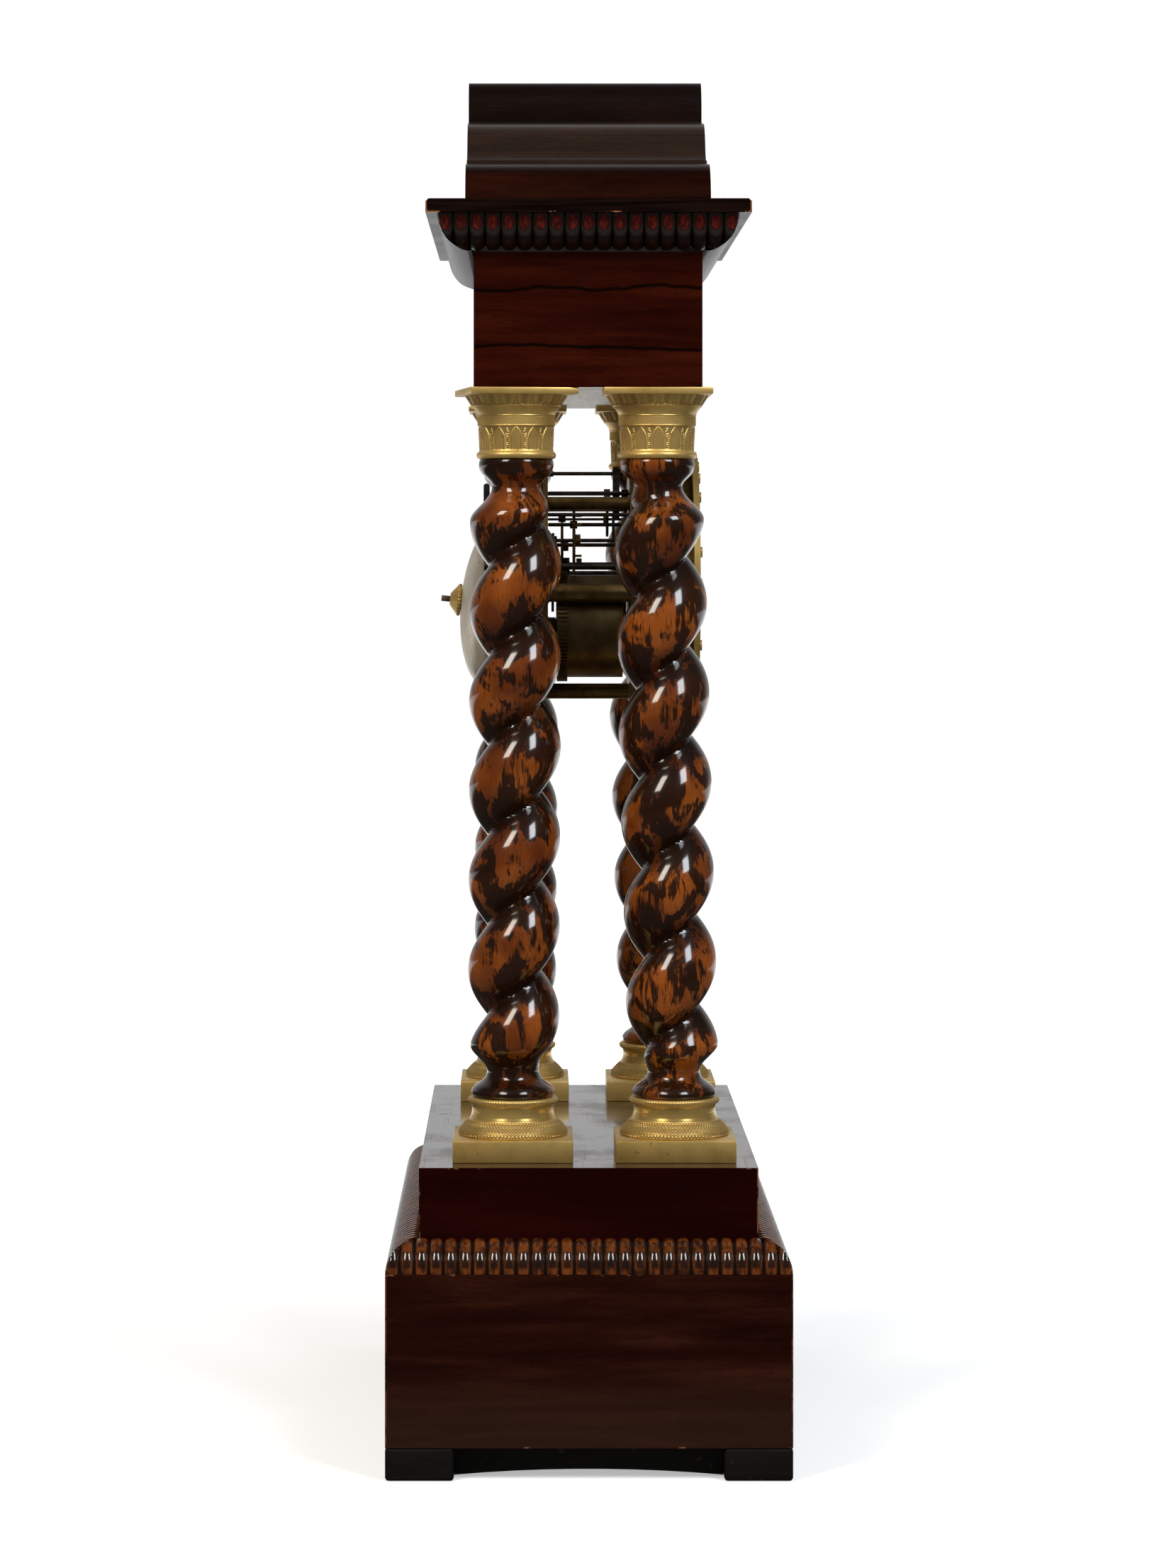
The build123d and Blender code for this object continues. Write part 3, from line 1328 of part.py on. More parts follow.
# Hanger: screwed foot under the soffit, web down to the pan's rim
hanger_front = hanger_web_back - hanger_web_thickness
hanger_foot_back = hanger_foot_front + hanger_foot_depth
foot_low = frieze_bottom - hanger_foot_thickness
hanger = block(
    -hanger_foot_width / 2, hanger_foot_width / 2, hanger_foot_front, hanger_foot_back, foot_low, frieze_bottom
)
web_half = hanger_web_width / 2
web_waist = 12.0
web = block(-web_half, web_half, hanger_front, hanger_web_back, movement_height, foot_low)
web = web - rod_y(0, movement_height, pan_radius, hanger_front - overrun, hanger_web_back + overrun)
for sign in (-1, 1):
    z = (foot_low + movement_height + pan_radius) / 2
    web = web - rod_y(sign * web_half, z, web_waist, hanger_front - overrun, hanger_web_back + overrun)
web = Compound(children=[web]).solids().sort_by(Axis.Z)[-1]
hanger = hanger + web
screw_x = hanger_foot_width / 2 - 3 * hanger_screw_radius
hanger_middle = (hanger_foot_front + hanger_foot_back) / 2
screws = []
for sign in (-1, 1):
    for shift in (-1, 1):
        x = sign * screw_x
        y = hanger_middle + shift * (hanger_foot_depth / 2 - 2 * hanger_screw_radius)
        hanger = hanger - rod_z(x, y, hanger_screw_radius, foot_low - overrun, frieze_bottom + overrun)
        head_low = foot_low - hanger_screw_radius
        screw = rod_z(x, y, hanger_screw_radius - shaft_clearance, foot_low, frieze_bottom)
        screw = screw + rod_z(x, y, 2 * hanger_screw_radius, head_low, foot_low)
        slot = block(
            x - 2 * hanger_screw_radius, x + 2 * hanger_screw_radius, y - sliding_gap, y + sliding_gap,
            head_low - overrun, head_low + hanger_screw_radius / 2,
        )
        screws.append(single(screw - slot))
nodes["hanger_bracket"] = single(hanger)
nodes["hanger_screws"] = group(*screws)

# Plates and pillars: pivot holes at every arbor, pillars riveted through both plates
pillar_places = [
    (-side_pillar_x, side_pillar_drop, side_pillar_radius),
    (side_pillar_x, side_pillar_drop, side_pillar_radius),
    (0.0, lower_pillar_drop, lower_pillar_radius),
    (-upper_pillar_x, upper_pillar_rise, upper_pillar_radius),
    (upper_pillar_x, upper_pillar_rise, upper_pillar_radius),
]
pivot_hole = pivot_radius + shaft_clearance
pivoted = [going_intermediate_at, third_at, escape_at, pin_wheel_at, locking_at, fly_at]
front_holes = [(at, pivot_hole) for at in pivoted + [anchor_at, hammer_at, lever_at, strike_intermediate_at]]
front_holes.append((centre, arbor_radius + shaft_clearance))
front_holes.append((regulator_at, arbor_radius + shaft_clearance))
back_holes = [(at, pivot_hole) for at in pivoted + [centre]]
for at in (anchor_at, hammer_at, lever_at, strike_intermediate_at, regulator_at):
    back_holes.append((at, arbor_radius + shaft_clearance))
for holes in (front_holes, back_holes):
    for at in (going_barrel_at, strike_barrel_at):
        holes.append((at, winding_arbor_radius + shaft_clearance))
    for x, rise, radius in pillar_places:
        holes.append(((x, rise), pillar_rivet_radius))


def movement_plate(y0, y1, holes):
    """A round brass plate with its holes."""
    plate = rod_y(0, movement_height, plate_radius, y0, y1)
    for at, radius in holes:
        plate = plate - rod_y(at[0], movement_height + at[1], radius, y0 - overrun, y1 + overrun)
    return plate


front_plate = movement_plate(front_plate_front, front_plate_back, front_holes)
front_plate = front_plate + rod_y(
    minute_wheel_at[0], stud_z, stud_radius, hour_wheel_front - 2 * sliding_gap, front_plate_front
)
for at, side in ((going_barrel_at, 1), (strike_barrel_at, -1)):
    tip, pivot = click_at(at, side)
    z = movement_height + pivot[1]
    front_plate = front_plate + rod_y(pivot[0], z, click_stud_radius, click_front - sliding_gap, front_plate_front)
nodes["front_plate"] = single(front_plate)
nodes["back_plate"] = single(movement_plate(back_plate_front, back_plate_back, back_holes))
plate_pillars = []
for x, rise, radius in pillar_places:
    z = movement_height + rise
    pillar = rod_y(x, z, radius, front_plate_back, back_plate_front)
    pillar = pillar + rod_y(x, z, pillar_rivet_radius, front_plate_front - sliding_gap, back_plate_back)
    plate_pillars.append(single(pillar))
nodes["plate_pillars"] = group(*plate_pillars)

# Regulator arbor: from a square above the dial's XII to a collet over the suspension
regulator_z = movement_height + regulator_height
regulator_tip = dial_front - sliding_gap
piece = rod_y(0, regulator_z, arbor_radius, dial_front, back_plate_back + sliding_gap)
piece = piece + rod_y(0, regulator_z, 1.6 * arbor_radius, back_plate_front - collet_length - sliding_gap, back_plate_front - sliding_gap)
piece = piece + rod_y(0, regulator_z, 2 * arbor_radius, back_plate_back + sliding_gap, back_plate_back + collet_length)
nodes["regulator_arbor"] = single(piece)

# Back cock: bridge over the crutch, with the arm that the pendulum hangs from
cock_low = anchor_z - cock_foot_drop
cock_top = anchor_z + cock_top_rise
cock_back = cock_plate_front + cock_plate_thickness
cock = block(-cock_half_width, cock_half_width, cock_plate_front, cock_back, cock_low, cock_top)
for sign in (-1, 1):
    inner = sign * (cock_half_width - cock_leg_width)
    outer = sign * cock_half_width
    cock = cock + block(min(inner, outer), max(inner, outer), back_plate_back, cock_plate_front, cock_low, anchor_z + cock_foot_drop)
arm_back_y = pendulum_y + chop_depth
arm_low = cock_top - cock_arm_thickness
cock = cock + block(-suspension_width, suspension_width, cock_back, arm_back_y, arm_low, cock_top)
cock = cock - rod_y(0, anchor_z, pivot_hole, cock_plate_front - overrun, cock_back + overrun)
nodes["suspension_cock"] = single(cock)

chop_low = arm_low - chop_height
strip_low = anchor_z + sliding_gap
spring = block(
    -chop_depth / 2, chop_depth / 2, pendulum_y - suspension_width / 2, pendulum_y + suspension_width / 2,
    chop_low, arm_low,
)
spring = spring + block(
    -suspension_strip / 2, suspension_strip / 2, pendulum_y - suspension_width / 2 + sliding_gap,
    pendulum_y + suspension_width / 2 - sliding_gap, strip_low, chop_low,
)
nodes["suspension_spring"] = single(spring)

# Pendulum: chop, rod, lens-shaped bob and rating nut
chop_bottom = anchor_z - chop_height
bob_z = anchor_z - pendulum_length
rod_low = bob_z - bob_radius - rod_below_bob
piece = block(
    -chop_depth / 2, chop_depth / 2, pendulum_y - suspension_width / 2, pendulum_y + suspension_width / 2,
    chop_bottom, anchor_z,
)
piece = piece + rod_z(0, pendulum_y, pendulum_rod_radius, rod_low, chop_bottom)
nodes["pendulum_rod"] = single(piece)
half_thick = bob_thickness / 2
half_edge = bob_edge / 2
lens_edges = [
    Line((0, -half_thick, 0), (0, half_thick, 0)),
    ThreePointArc(
        (0, half_thick, 0), (bob_radius * 0.5, half_edge + (half_thick - half_edge) * 0.75, 0),
        (bob_radius, half_edge, 0),
    ),
    Line((bob_radius, half_edge, 0), (bob_radius, -half_edge, 0)),
    ThreePointArc(
        (bob_radius, -half_edge, 0), (bob_radius * 0.5, -half_edge - (half_thick - half_edge) * 0.75, 0),
        (0, -half_thick, 0),
    ),
]
lens = revolve(Face(Wire(lens_edges)), Axis.Y, 360)
lens = Pos(0, pendulum_y, bob_z) * lens
bob_bore = pendulum_rod_radius + shaft_clearance
lens = lens - rod_z(0, pendulum_y, bob_bore, bob_z - bob_radius - overrun, bob_z + bob_radius + overrun)
nodes["pendulum_bob"] = group(lens)
nut_top = bob_z - bob_radius
nut = rod_z(0, pendulum_y, rating_nut_radius, nut_top - rating_nut_height, nut_top)
nut = nut - rod_z(0, pendulum_y, bob_bore, nut_top - rating_nut_height - overrun, nut_top + overrun)
nodes["rating_nut"] = single(nut)

# Bell, its stand and its nut, on an axis that rises a little towards the back
bell_plane = Plane(
    origin=(0, bell_mouth_y, movement_height + bell_mouth_drop),
    x_dir=(1, 0, 0),
    z_dir=(0, cos(radians(bell_tilt)), sin(radians(bell_tilt))),
)
inner_radius = bell_radius - bell_wall
inner_depth = bell_depth - bell_wall
bell_arc_share = 0.7071
bell_edges = [
    EllipticalCenterArc((0, 0), bell_radius, bell_depth, 0, arc_size=90),
    Line((0, bell_depth), (0, inner_depth)),
    EllipticalCenterArc((0, 0), inner_radius, inner_depth, 0, arc_size=90),
    Line((inner_radius, 0), (bell_radius, 0)),
]
bell_section = Plane.XZ * Face(Wire.combine(bell_edges)[0])
bell = revolve(bell_section, Axis.Z, 360)
bell = bell - Pos(0, 0, bell_depth) * Cylinder(bell_stud_radius + shaft_clearance, 2 * bell_depth)
nodes["bell"] = single(bell_plane * bell)

stud_top = bell_depth + bell_nut_height + 2 * rod_below_bob / 5
collar_radius = 3.0
collar_height = 2.0
stand_start = (bell_arm_x, back_plate_back, movement_height + bell_arm_drop)
stand_turn = (bell_arm_x, bell_arm_y, movement_height + bell_arm_drop)
axis_low = bell_plane.from_local_coords((0, 0, bell_arm_y - bell_mouth_y))
collar_at = bell_plane.from_local_coords((0, 0, inner_depth - collar_height))
path = FilletPolyline(stand_start, stand_turn, tuple(axis_low), tuple(collar_at), radius=bell_arm_bend)
profile_plane = Plane(origin=stand_start, z_dir=(0, 1, 0))
stand = sweep(profile_plane * Circle(bell_arm_radius), path=path)
stud = Pos(0, 0, (inner_depth + stud_top) / 2) * Cylinder(bell_stud_radius, stud_top - inner_depth)
collar = Pos(0, 0, inner_depth - collar_height / 2 - shaft_clearance) * Cylinder(collar_radius, collar_height)
root = Pos(0, 0, inner_depth - collar_height / 2) * Cylinder(bell_stud_radius, collar_height)
stand = stand + bell_plane * stud + bell_plane * collar + bell_plane * root
foot_plate = rod_y(bell_arm_x, movement_height + bell_arm_drop, 2 * bell_arm_radius, back_plate_back, back_plate_back + collar_height)
nodes["bell_stand"] = single(stand + foot_plate)

nut_share = 0.18
nut_edges = [
    Line((0, 0), (bell_nut_radius - bell_stud_radius, 0)),
    Line((bell_nut_radius - bell_stud_radius, 0), (bell_nut_radius, bell_nut_height * nut_share / 2)),
    Line((bell_nut_radius, bell_nut_height * nut_share / 2), (bell_nut_radius, bell_nut_height * nut_share)),
    Line((bell_nut_radius, bell_nut_height * nut_share), (2 * bell_stud_radius, bell_nut_height)),
    Line((2 * bell_stud_radius, bell_nut_height), (0, bell_nut_height)),
    Line((0, bell_nut_height), (0, 0)),
]
bell_nut = revolve(Plane.XZ * Face(Wire(nut_edges)), Axis.Z, 360)
bell_nut = bell_nut - Cylinder(bell_stud_radius + shaft_clearance, 4 * bell_nut_height)
nodes["bell_nut"] = single(bell_plane * (Pos(0, 0, bell_depth) * bell_nut))

for name, shape in nodes.items():
    export_step(shape, f"parts/{name}.step")
print(len(nodes), "nodes")
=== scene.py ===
from math import atan2, cos, hypot, pi, radians, sin, sqrt

import bpy
from mathutils import Matrix, Vector


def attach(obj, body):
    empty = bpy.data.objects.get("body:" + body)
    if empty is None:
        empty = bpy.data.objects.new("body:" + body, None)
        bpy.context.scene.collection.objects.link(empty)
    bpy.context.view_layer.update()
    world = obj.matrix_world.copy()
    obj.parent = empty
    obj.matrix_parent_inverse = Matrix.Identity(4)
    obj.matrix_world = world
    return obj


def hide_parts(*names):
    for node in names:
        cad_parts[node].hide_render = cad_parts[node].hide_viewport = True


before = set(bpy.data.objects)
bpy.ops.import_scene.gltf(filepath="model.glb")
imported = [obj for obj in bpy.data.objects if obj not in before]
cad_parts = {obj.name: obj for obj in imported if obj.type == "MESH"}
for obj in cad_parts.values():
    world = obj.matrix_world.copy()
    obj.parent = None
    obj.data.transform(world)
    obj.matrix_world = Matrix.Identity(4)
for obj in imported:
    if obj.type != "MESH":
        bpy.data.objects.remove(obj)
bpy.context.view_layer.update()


# Block feet and apron
# Four blocks of wood stained black stand at the corners of the base. Between them run
# recessed black rails with an arched lower edge, nailed below the bottom board.
class Shade:
    """A number or a colour that varies over a surface, so that wood figure reads as a sum."""

    def __init__(self, finish, socket):
        self.finish = finish
        self.socket = socket

    def worked(self, operation, *terms):
        inputs = dict(enumerate(terms))
        return self.finish.shade("ShaderNodeMath", {"operation": operation}, inputs)

    def __add__(self, other):
        return self.worked("ADD", self, other)

    def __sub__(self, other):
        return self.worked("SUBTRACT", self, other)

    def __rsub__(self, other):
        return self.worked("SUBTRACT", other, self)

    def __mul__(self, other):
        return self.worked("MULTIPLY", self, other)

    def __truediv__(self, other):
        return self.worked("DIVIDE", self, other)

    def __gt__(self, other):
        return self.worked("GREATER_THAN", self, other)

    def __abs__(self):
        return self.worked("ABSOLUTE", self)

    def wave(self):
        return self.worked("SINE", self)

    def power(self, exponent):
        return self.worked("POWER", self, exponent)

    def part(self):
        return self.worked("FRACT", self)

    def reach(self, other):
        """How far off the axis a point lies, from its two distances."""
        return (self.power(2.0) + other.power(2.0)).power(0.5)

    __radd__ = __add__
    __rmul__ = __mul__


class Finish:
    """One finish of the clock: a shader, and the patterns that feed it."""

    def __init__(
        self, name, colour, roughness, metallic=0.0, specular=0.5, coat=0.0, coat_roughness=0.05
    ):
        self.material = bpy.data.materials.new(name)
        self.material.use_nodes = True
        self.tree = self.material.node_tree
        self.surface = self.tree.nodes["Principled BSDF"]
        self.feed("Base Color", (*colour, 1.0))
        self.feed("Roughness", roughness)
        self.feed("Metallic", metallic)
        self.feed("Specular IOR Level", specular)
        self.feed("Coat Weight", coat)
        self.feed("Coat Roughness", coat_roughness)
        self.place = self.shade("ShaderNodeTexCoord", output="Object")
        self.x, self.y, self.z = self.split(self.place)

    def node(self, kind, settings=None, inputs=None):
        made = self.tree.nodes.new(kind)
        for name, value in (settings or {}).items():
            if name == "stops":
                ramp = made.color_ramp
                while len(ramp.elements) < len(value):
                    ramp.elements.new(0.5)
                for element, (position, colour) in zip(ramp.elements, value):
                    element.position = position
                    element.color = (*colour, 1.0)
            else:
                setattr(made, name, value)
        for name, value in (inputs or {}).items():
            if isinstance(value, Shade):
                self.tree.links.new(value.socket, made.inputs[name])
            else:
                made.inputs[name].default_value = value
        return made

    def shade(self, kind, settings=None, inputs=None, output=0):
        """What a new node gives out."""
        return Shade(self, self.node(kind, settings, inputs).outputs[output])

    def feed(self, name, value):
        socket = self.surface.inputs[name]
        if isinstance(value, Shade):
            self.tree.links.new(value.socket, socket)
        else:
            socket.default_value = value

    def tint(self, colour, roughness=None):
        """Gives the surface its colour, and its roughness where that varies too."""
        self.colour = colour
        self.feed("Base Color", colour)
        if roughness is not None:
            self.feed("Roughness", roughness)

    def split(self, vector):
        parts = self.node("ShaderNodeSeparateXYZ", {}, {0: vector})
        return [Shade(self, part) for part in parts.outputs]

    def joined(self, x, y, z=0.0):
        return self.shade("ShaderNodeCombineXYZ", {}, {0: x, 1: y, 2: z})

    def noise(self, place, detail=3.0, rough=0.5, distortion=0.0):
        inputs = {"Vector": place, "Scale": 1.0, "Detail": detail}
        inputs.update({"Roughness": rough, "Distortion": distortion})
        return self.shade("ShaderNodeTexNoise", {}, inputs)

    def stretched(self, x, y=None, z=None, detail=3.0, rough=0.5, distortion=0.0):
        """Noise with its own number of features per metre along each axis, or one for all."""
        inputs = {0: self.place, 1: (x, y or x, z or x)}
        scaled = self.shade("ShaderNodeVectorMath", {"operation": "MULTIPLY"}, inputs)
        return self.noise(scaled, detail, rough, distortion)

    def rise(self, value, low, high):
        """A soft step from 0 at low to 1 at high."""
        soft = {"interpolation_type": "SMOOTHSTEP"}
        return self.shade("ShaderNodeMapRange", soft, {0: value, 1: low, 2: high})

    def mix(self, share, first, second):
        """One colour passing into another as share goes from 0 to 1."""
        colours = {6: first, 7: second}
        for index, colour in colours.items():
            if not isinstance(colour, Shade):
                colours[index] = (*colour, 1.0)
        return self.shade("ShaderNodeMix", {"data_type": "RGBA"}, {0: share, **colours}, 2)

    def between(self, value, low, high, first, second):
        """One colour passing into another as a value goes from low to high."""
        return self.mix(self.rise(value, low, high), first, second)

    def choose(self, share, first, second):
        """One number passing into another as share goes from 0 to 1."""
        return first + (second - first) * share

    def turning_marks(self, place, count):
        """Fine marks that a lathe leaves, count of them to the metre."""
        return self.noise(self.joined(place * count, 0.0), 2.0, 0.6)

    def relief(self, height, depth):
        """Small hollows and ridges, depth metres from lowest to highest."""
        inputs = {"Height": height, "Distance": depth, "Strength": 1.0}
        self.feed("Normal", self.shade("ShaderNodeBump", {}, inputs))

    def facing(self):
        """The way the surface faces, as three numbers."""
        return self.split(self.shade("ShaderNodeNewGeometry", output="Normal"))


def dress(finish, *nodes):
    """Gives some pieces of the frame a finish."""
    for node in nodes:
        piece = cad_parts[node]
        if piece.material_slots:
            piece.material_slots[0].material = finish.material
        else:
            piece.data.materials.append(finish.material)


def settle(piece):
    """Puts a finished piece's place into its mesh, with its faces pointing outwards."""
    bpy.ops.object.select_all(action="DESELECT")
    piece.select_set(True)
    bpy.context.view_layer.objects.active = piece
    bpy.ops.object.transform_apply()
    bpy.ops.object.mode_set(mode="EDIT")
    bpy.ops.mesh.select_all(action="SELECT")
    bpy.ops.mesh.normals_make_consistent(inside=False)
    bpy.ops.object.mode_set(mode="OBJECT")
    bpy.ops.object.shade_smooth_by_angle(angle=radians(32))
    return piece


def block(name, low, high, rounding=0.0, segments=2):
    """A squared block with its edges eased, from its lowest corner to its highest."""
    low, high = Vector(low), Vector(high)
    bpy.ops.object.select_all(action="DESELECT")
    bpy.ops.mesh.primitive_cube_add(size=1, location=(low + high) / 2, scale=high - low)
    piece = bpy.context.object
    piece.name = name
    bpy.ops.object.transform_apply()
    if rounding:
        bpy.ops.object.mode_set(mode="EDIT")
        bpy.ops.mesh.select_all(action="SELECT")
        bpy.ops.mesh.bevel(offset=rounding, segments=segments, affect="EDGES")
        bpy.ops.object.mode_set(mode="OBJECT")
    return settle(piece)


def joined_up(name, pieces):
    """Several parts made one piece."""
    bpy.ops.object.select_all(action="DESELECT")
    for piece in pieces:
        piece.select_set(True)
    bpy.context.view_layer.objects.active = pieces[0]
    bpy.ops.object.join()
    pieces[0].name = name
    return pieces[0]


def finished(piece, finish, body, slot, *nodes):
    """Gives a piece its finish, and says what it rides on and stands for."""
    piece.data.materials.clear()
    piece.data.materials.append(finish.material)
    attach(piece, body)
    if nodes:
        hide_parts(*nodes)
    return piece


base_half_x = 0.15
base_half_y = 0.08
foot_side = 0.027
foot_height = 0.013
foot_easing = 0.0014
black_wood = Finish("ebonised wood", (0.006, 0.0055, 0.0045), 0.5, specular=0.12)
streak = black_wood.stretched(60, 60, 400, detail=4)
scuffs = black_wood.rise(black_wood.stretched(240, detail=5, rough=0.65), 0.6, 0.72)
low_edge = 1 - black_wood.rise(black_wood.z, 0.0006, 0.0022)
outer_edge = black_wood.rise(abs(black_wood.y), base_half_y - 0.0012, base_half_y - 0.0002)
rubbed = scuffs * (low_edge * 0.8 + outer_edge * 0.5 + 0.12)
black_tone = black_wood.mix(streak, (0.0035, 0.0032, 0.0028), (0.0085, 0.0075, 0.006))
black_wood.tint(black_wood.mix(rubbed, black_tone, (0.16, 0.065, 0.022)), streak * 0.3 + 0.35)
black_wood.relief(streak + scuffs, 0.00008)
feet = []
for x_sign in (-1, 1):
    for y_sign in (-1, 1):
        across = sorted((x_sign * base_half_x, x_sign * (base_half_x - foot_side)))
        deep = sorted((y_sign * base_half_y, y_sign * (base_half_y - foot_side)))
        low, high = zip(across, deep, (0, foot_height))
        feet.append(block("foot", low, high, foot_easing, 3))
finished(joined_up("worn_block_feet", feet), black_wood, "case", "ebonised", "block_feet")
dress(black_wood, "apron_frame")


# Base box
# A hollow box of veneered wood with mitred corners. The veneer is a very dark red-brown
# rosewood with its grain running level, under old shellac polish.
def rosewood(name, tones, gloss=0.06, lengthwise_top=True, lines=()):
    """Rosewood veneer: level grain on the sides; the lines are (height, swing) of black figure."""
    wood = Finish(name, tones[1], 0.25, specular=gloss)
    facing = wood.facing()
    end = wood.rise(abs(facing[1]), 0.5, 0.6)
    top = wood.rise(abs(facing[2]), 0.7, 0.8)
    along = wood.choose(end, wood.y, wood.x)
    across = wood.z
    if lengthwise_top:
        along = wood.choose(top, along, wood.x)
        across = wood.choose(top, across, wood.y)
    slow = wood.noise(wood.joined(along * 5, across * 48, end * 3 + top * 5), 3.0, 0.55, 0.7)
    pores = wood.noise(wood.joined(along * 150, across * 1900, end * 3), 3.0, 0.6)
    flame = wood.noise(wood.joined(along * 12, across * 130, end * 7 + 2), 4.0, 0.6, 0.5)
    figure = slow * 0.45 + flame * 0.4 + pores * 0.25
    stops = [(0.4, tones[0]), (0.54, tones[1]), (0.66, tones[2])]
    colour = wood.shade("ShaderNodeValToRGB", {"stops": stops}, {0: figure})
    pore_red = tones[0][0] * 0.5
    colour = wood.mix(wood.rise(pores, 0.55, 0.66) * 0.55, colour, (pore_red, 0.0006, 0.0003))
    for height, swing in lines:
        drift = wood.noise(wood.joined(along * 16, height * 100.0), 4.0, 0.55, 0.2) - 0.5
        above = wood.z - height - drift * swing
        line = 1 - wood.rise(abs(above), 0.0003, 0.0011)
        smear = (1 - wood.rise(above, 0.0, 0.01)) * wood.rise(above, -0.0006, 0.0006)
        colour = wood.mix(smear * 0.35, colour, tones[0])
        colour = wood.mix(line * 0.92, colour, (0.0022, 0.0006, 0.0003))
    wood.tint(colour, pores * 0.14 + 0.16)
    wood.relief(pores * 0.6 + flame * 0.4, 0.00003)
    return wood


bare_wood = (0.22, 0.085, 0.034)
rub_width = 0.0011
rub_margin = 0.0002
corner_reach = 0.01


def rub_edges(wood, half_x, half_y, low, high, amount, corner_wear=0.1):
    """Rubs a box's long edges through to the bare wood; the box is half sizes and two levels."""
    patches = wood.stretched(120, detail=6, rough=0.7)
    middle = (low + high) / 2
    half_z = (high - low) / 2
    near = []
    for place, half in ((wood.x, half_x), (wood.y, half_y), (wood.z - middle, half_z)):
        near.append(wood.rise(abs(place), half - rub_width, half - rub_margin))
    two = near[0] * near[1] + near[0] * near[2] + near[1] * near[2]
    inside = 1 - wood.rise(abs(wood.z - middle), half_z, half_z + rub_margin)
    corner = wood.rise(abs(wood.x), half_x - corner_reach, half_x)
    corner = corner * wood.rise(abs(wood.y), half_y - corner_reach, half_y)
    patchy = wood.rise(patches + corner * corner_wear, 0.58, 0.66)
    worn = wood.rise(two, 0.5, 0.9) * patchy * inside
    wood.tint(wood.mix(worn * amount, wood.colour, bare_wood))


base_low = 0.013
base_high = 0.081
base_tones = [(0.006, 0.0009, 0.0005), (0.0155, 0.0028, 0.0014), (0.032, 0.0085, 0.004)]
base_veneer = rosewood("base rosewood", base_tones)
# The sides are mixed towards a paler brown near the bottom.
paler_towards_bottom = 1 - base_veneer.rise(base_veneer.z, 0.017, 0.048)
base_veneer.tint(base_veneer.mix(paler_towards_bottom * 0.45, base_veneer.colour, (0.03, 0.015, 0.01)))
rub_edges(base_veneer, base_half_x, base_half_y, base_low, base_high, 0.8)
dress(base_veneer, "base_carcass")

# Upper step
# A lower, smaller box glued on the base. Its sides are the darkest red, and its top is
# still glassy with polish, scratched and rubbed where the columns were set down.
step_half_x = 0.137
step_half_y = 0.067
step_top_level = 0.121
step_tones = [(0.0075, 0.0004, 0.0002), (0.012, 0.0007, 0.0004), (0.019, 0.0016, 0.0008)]
step_veneer = rosewood("step rosewood", step_tones)
rub_edges(step_veneer, step_half_x, step_half_y, base_high, step_top_level, 0.6)
on_top = step_veneer.rise(step_veneer.facing()[2], 0.8, 0.95)
lengthways = step_veneer.stretched(9, 420, 1, detail=4, rough=0.7, distortion=0.3)
long_scratches = step_veneer.rise(lengthways, 0.6, 0.66)
slanting = step_veneer.joined(step_veneer.x * 90 + step_veneer.y * 160, step_veneer.y * 22)
slant_scratches = step_veneer.rise(step_veneer.noise(slanting, 4.0, 0.7), 0.66, 0.7)
dull = step_veneer.rise(step_veneer.stretched(26, 34, 1, detail=6, rough=0.65), 0.46, 0.66)
worn_top = long_scratches * 0.55 + slant_scratches * 0.4
step_veneer.feed("Coat Weight", on_top * (0.95 - dull * 0.6 - worn_top * 0.7))
step_veneer.feed("Coat Roughness", 0.07)
dust = step_veneer.mix(dull * 0.4, (0.022, 0.008, 0.004), (0.075, 0.052, 0.036))
string_inset = 0.0058
string_width = 0.0004
string_x = step_half_x - string_inset
string_y = step_half_y - string_inset
from_x = abs(step_veneer.x)
from_y = abs(step_veneer.y)
sides = ((from_x, string_x, from_y, string_y), (from_y, string_y, from_x, string_x))
string_line = 0.0
for over, at, beside, end in sides:
    line = 1 - step_veneer.rise(abs(over - at), string_width / 4, string_width)
    string_line = line * (1 - (beside > end + string_width)) + string_line
top_colour = step_veneer.mix(worn_top, dust, (0.16, 0.035, 0.018))
top_colour = step_veneer.mix(string_line * 0.6, top_colour, (0.14, 0.045, 0.03))
step_veneer.tint(step_veneer.mix(on_top, step_veneer.colour, top_colour))
dress(step_veneer, "upper_step")


# Base moulding
# Four mitred strips of quarter-round moulding, cut across into close half-round reeds
# with domed heads. The amber wood shows through thick varnish, and dust lies between.
def wrapped(name, columns, rows, shape):
    """A flat grid wrapped into a solid: shape turns two shares of the grid into a place."""
    bpy.ops.object.select_all(action="DESELECT")
    bpy.ops.mesh.primitive_grid_add(x_subdivisions=columns, y_subdivisions=rows, size=1)
    piece = bpy.context.object
    piece.name = name
    for vertex in piece.data.vertices:
        vertex.co = shape(vertex.co.x + 0.5, vertex.co.y + 0.5)
    bpy.ops.object.mode_set(mode="EDIT")
    bpy.ops.mesh.select_all(action="SELECT")
    bpy.ops.mesh.remove_doubles(threshold=0.0000005)
    bpy.ops.mesh.fill_holes(sides=0)
    bpy.ops.object.mode_set(mode="OBJECT")
    return settle(piece)


arc_share = 0.8
flat_share = (1 - arc_share) / 2
reed_steps = 12
strip_rows = 40


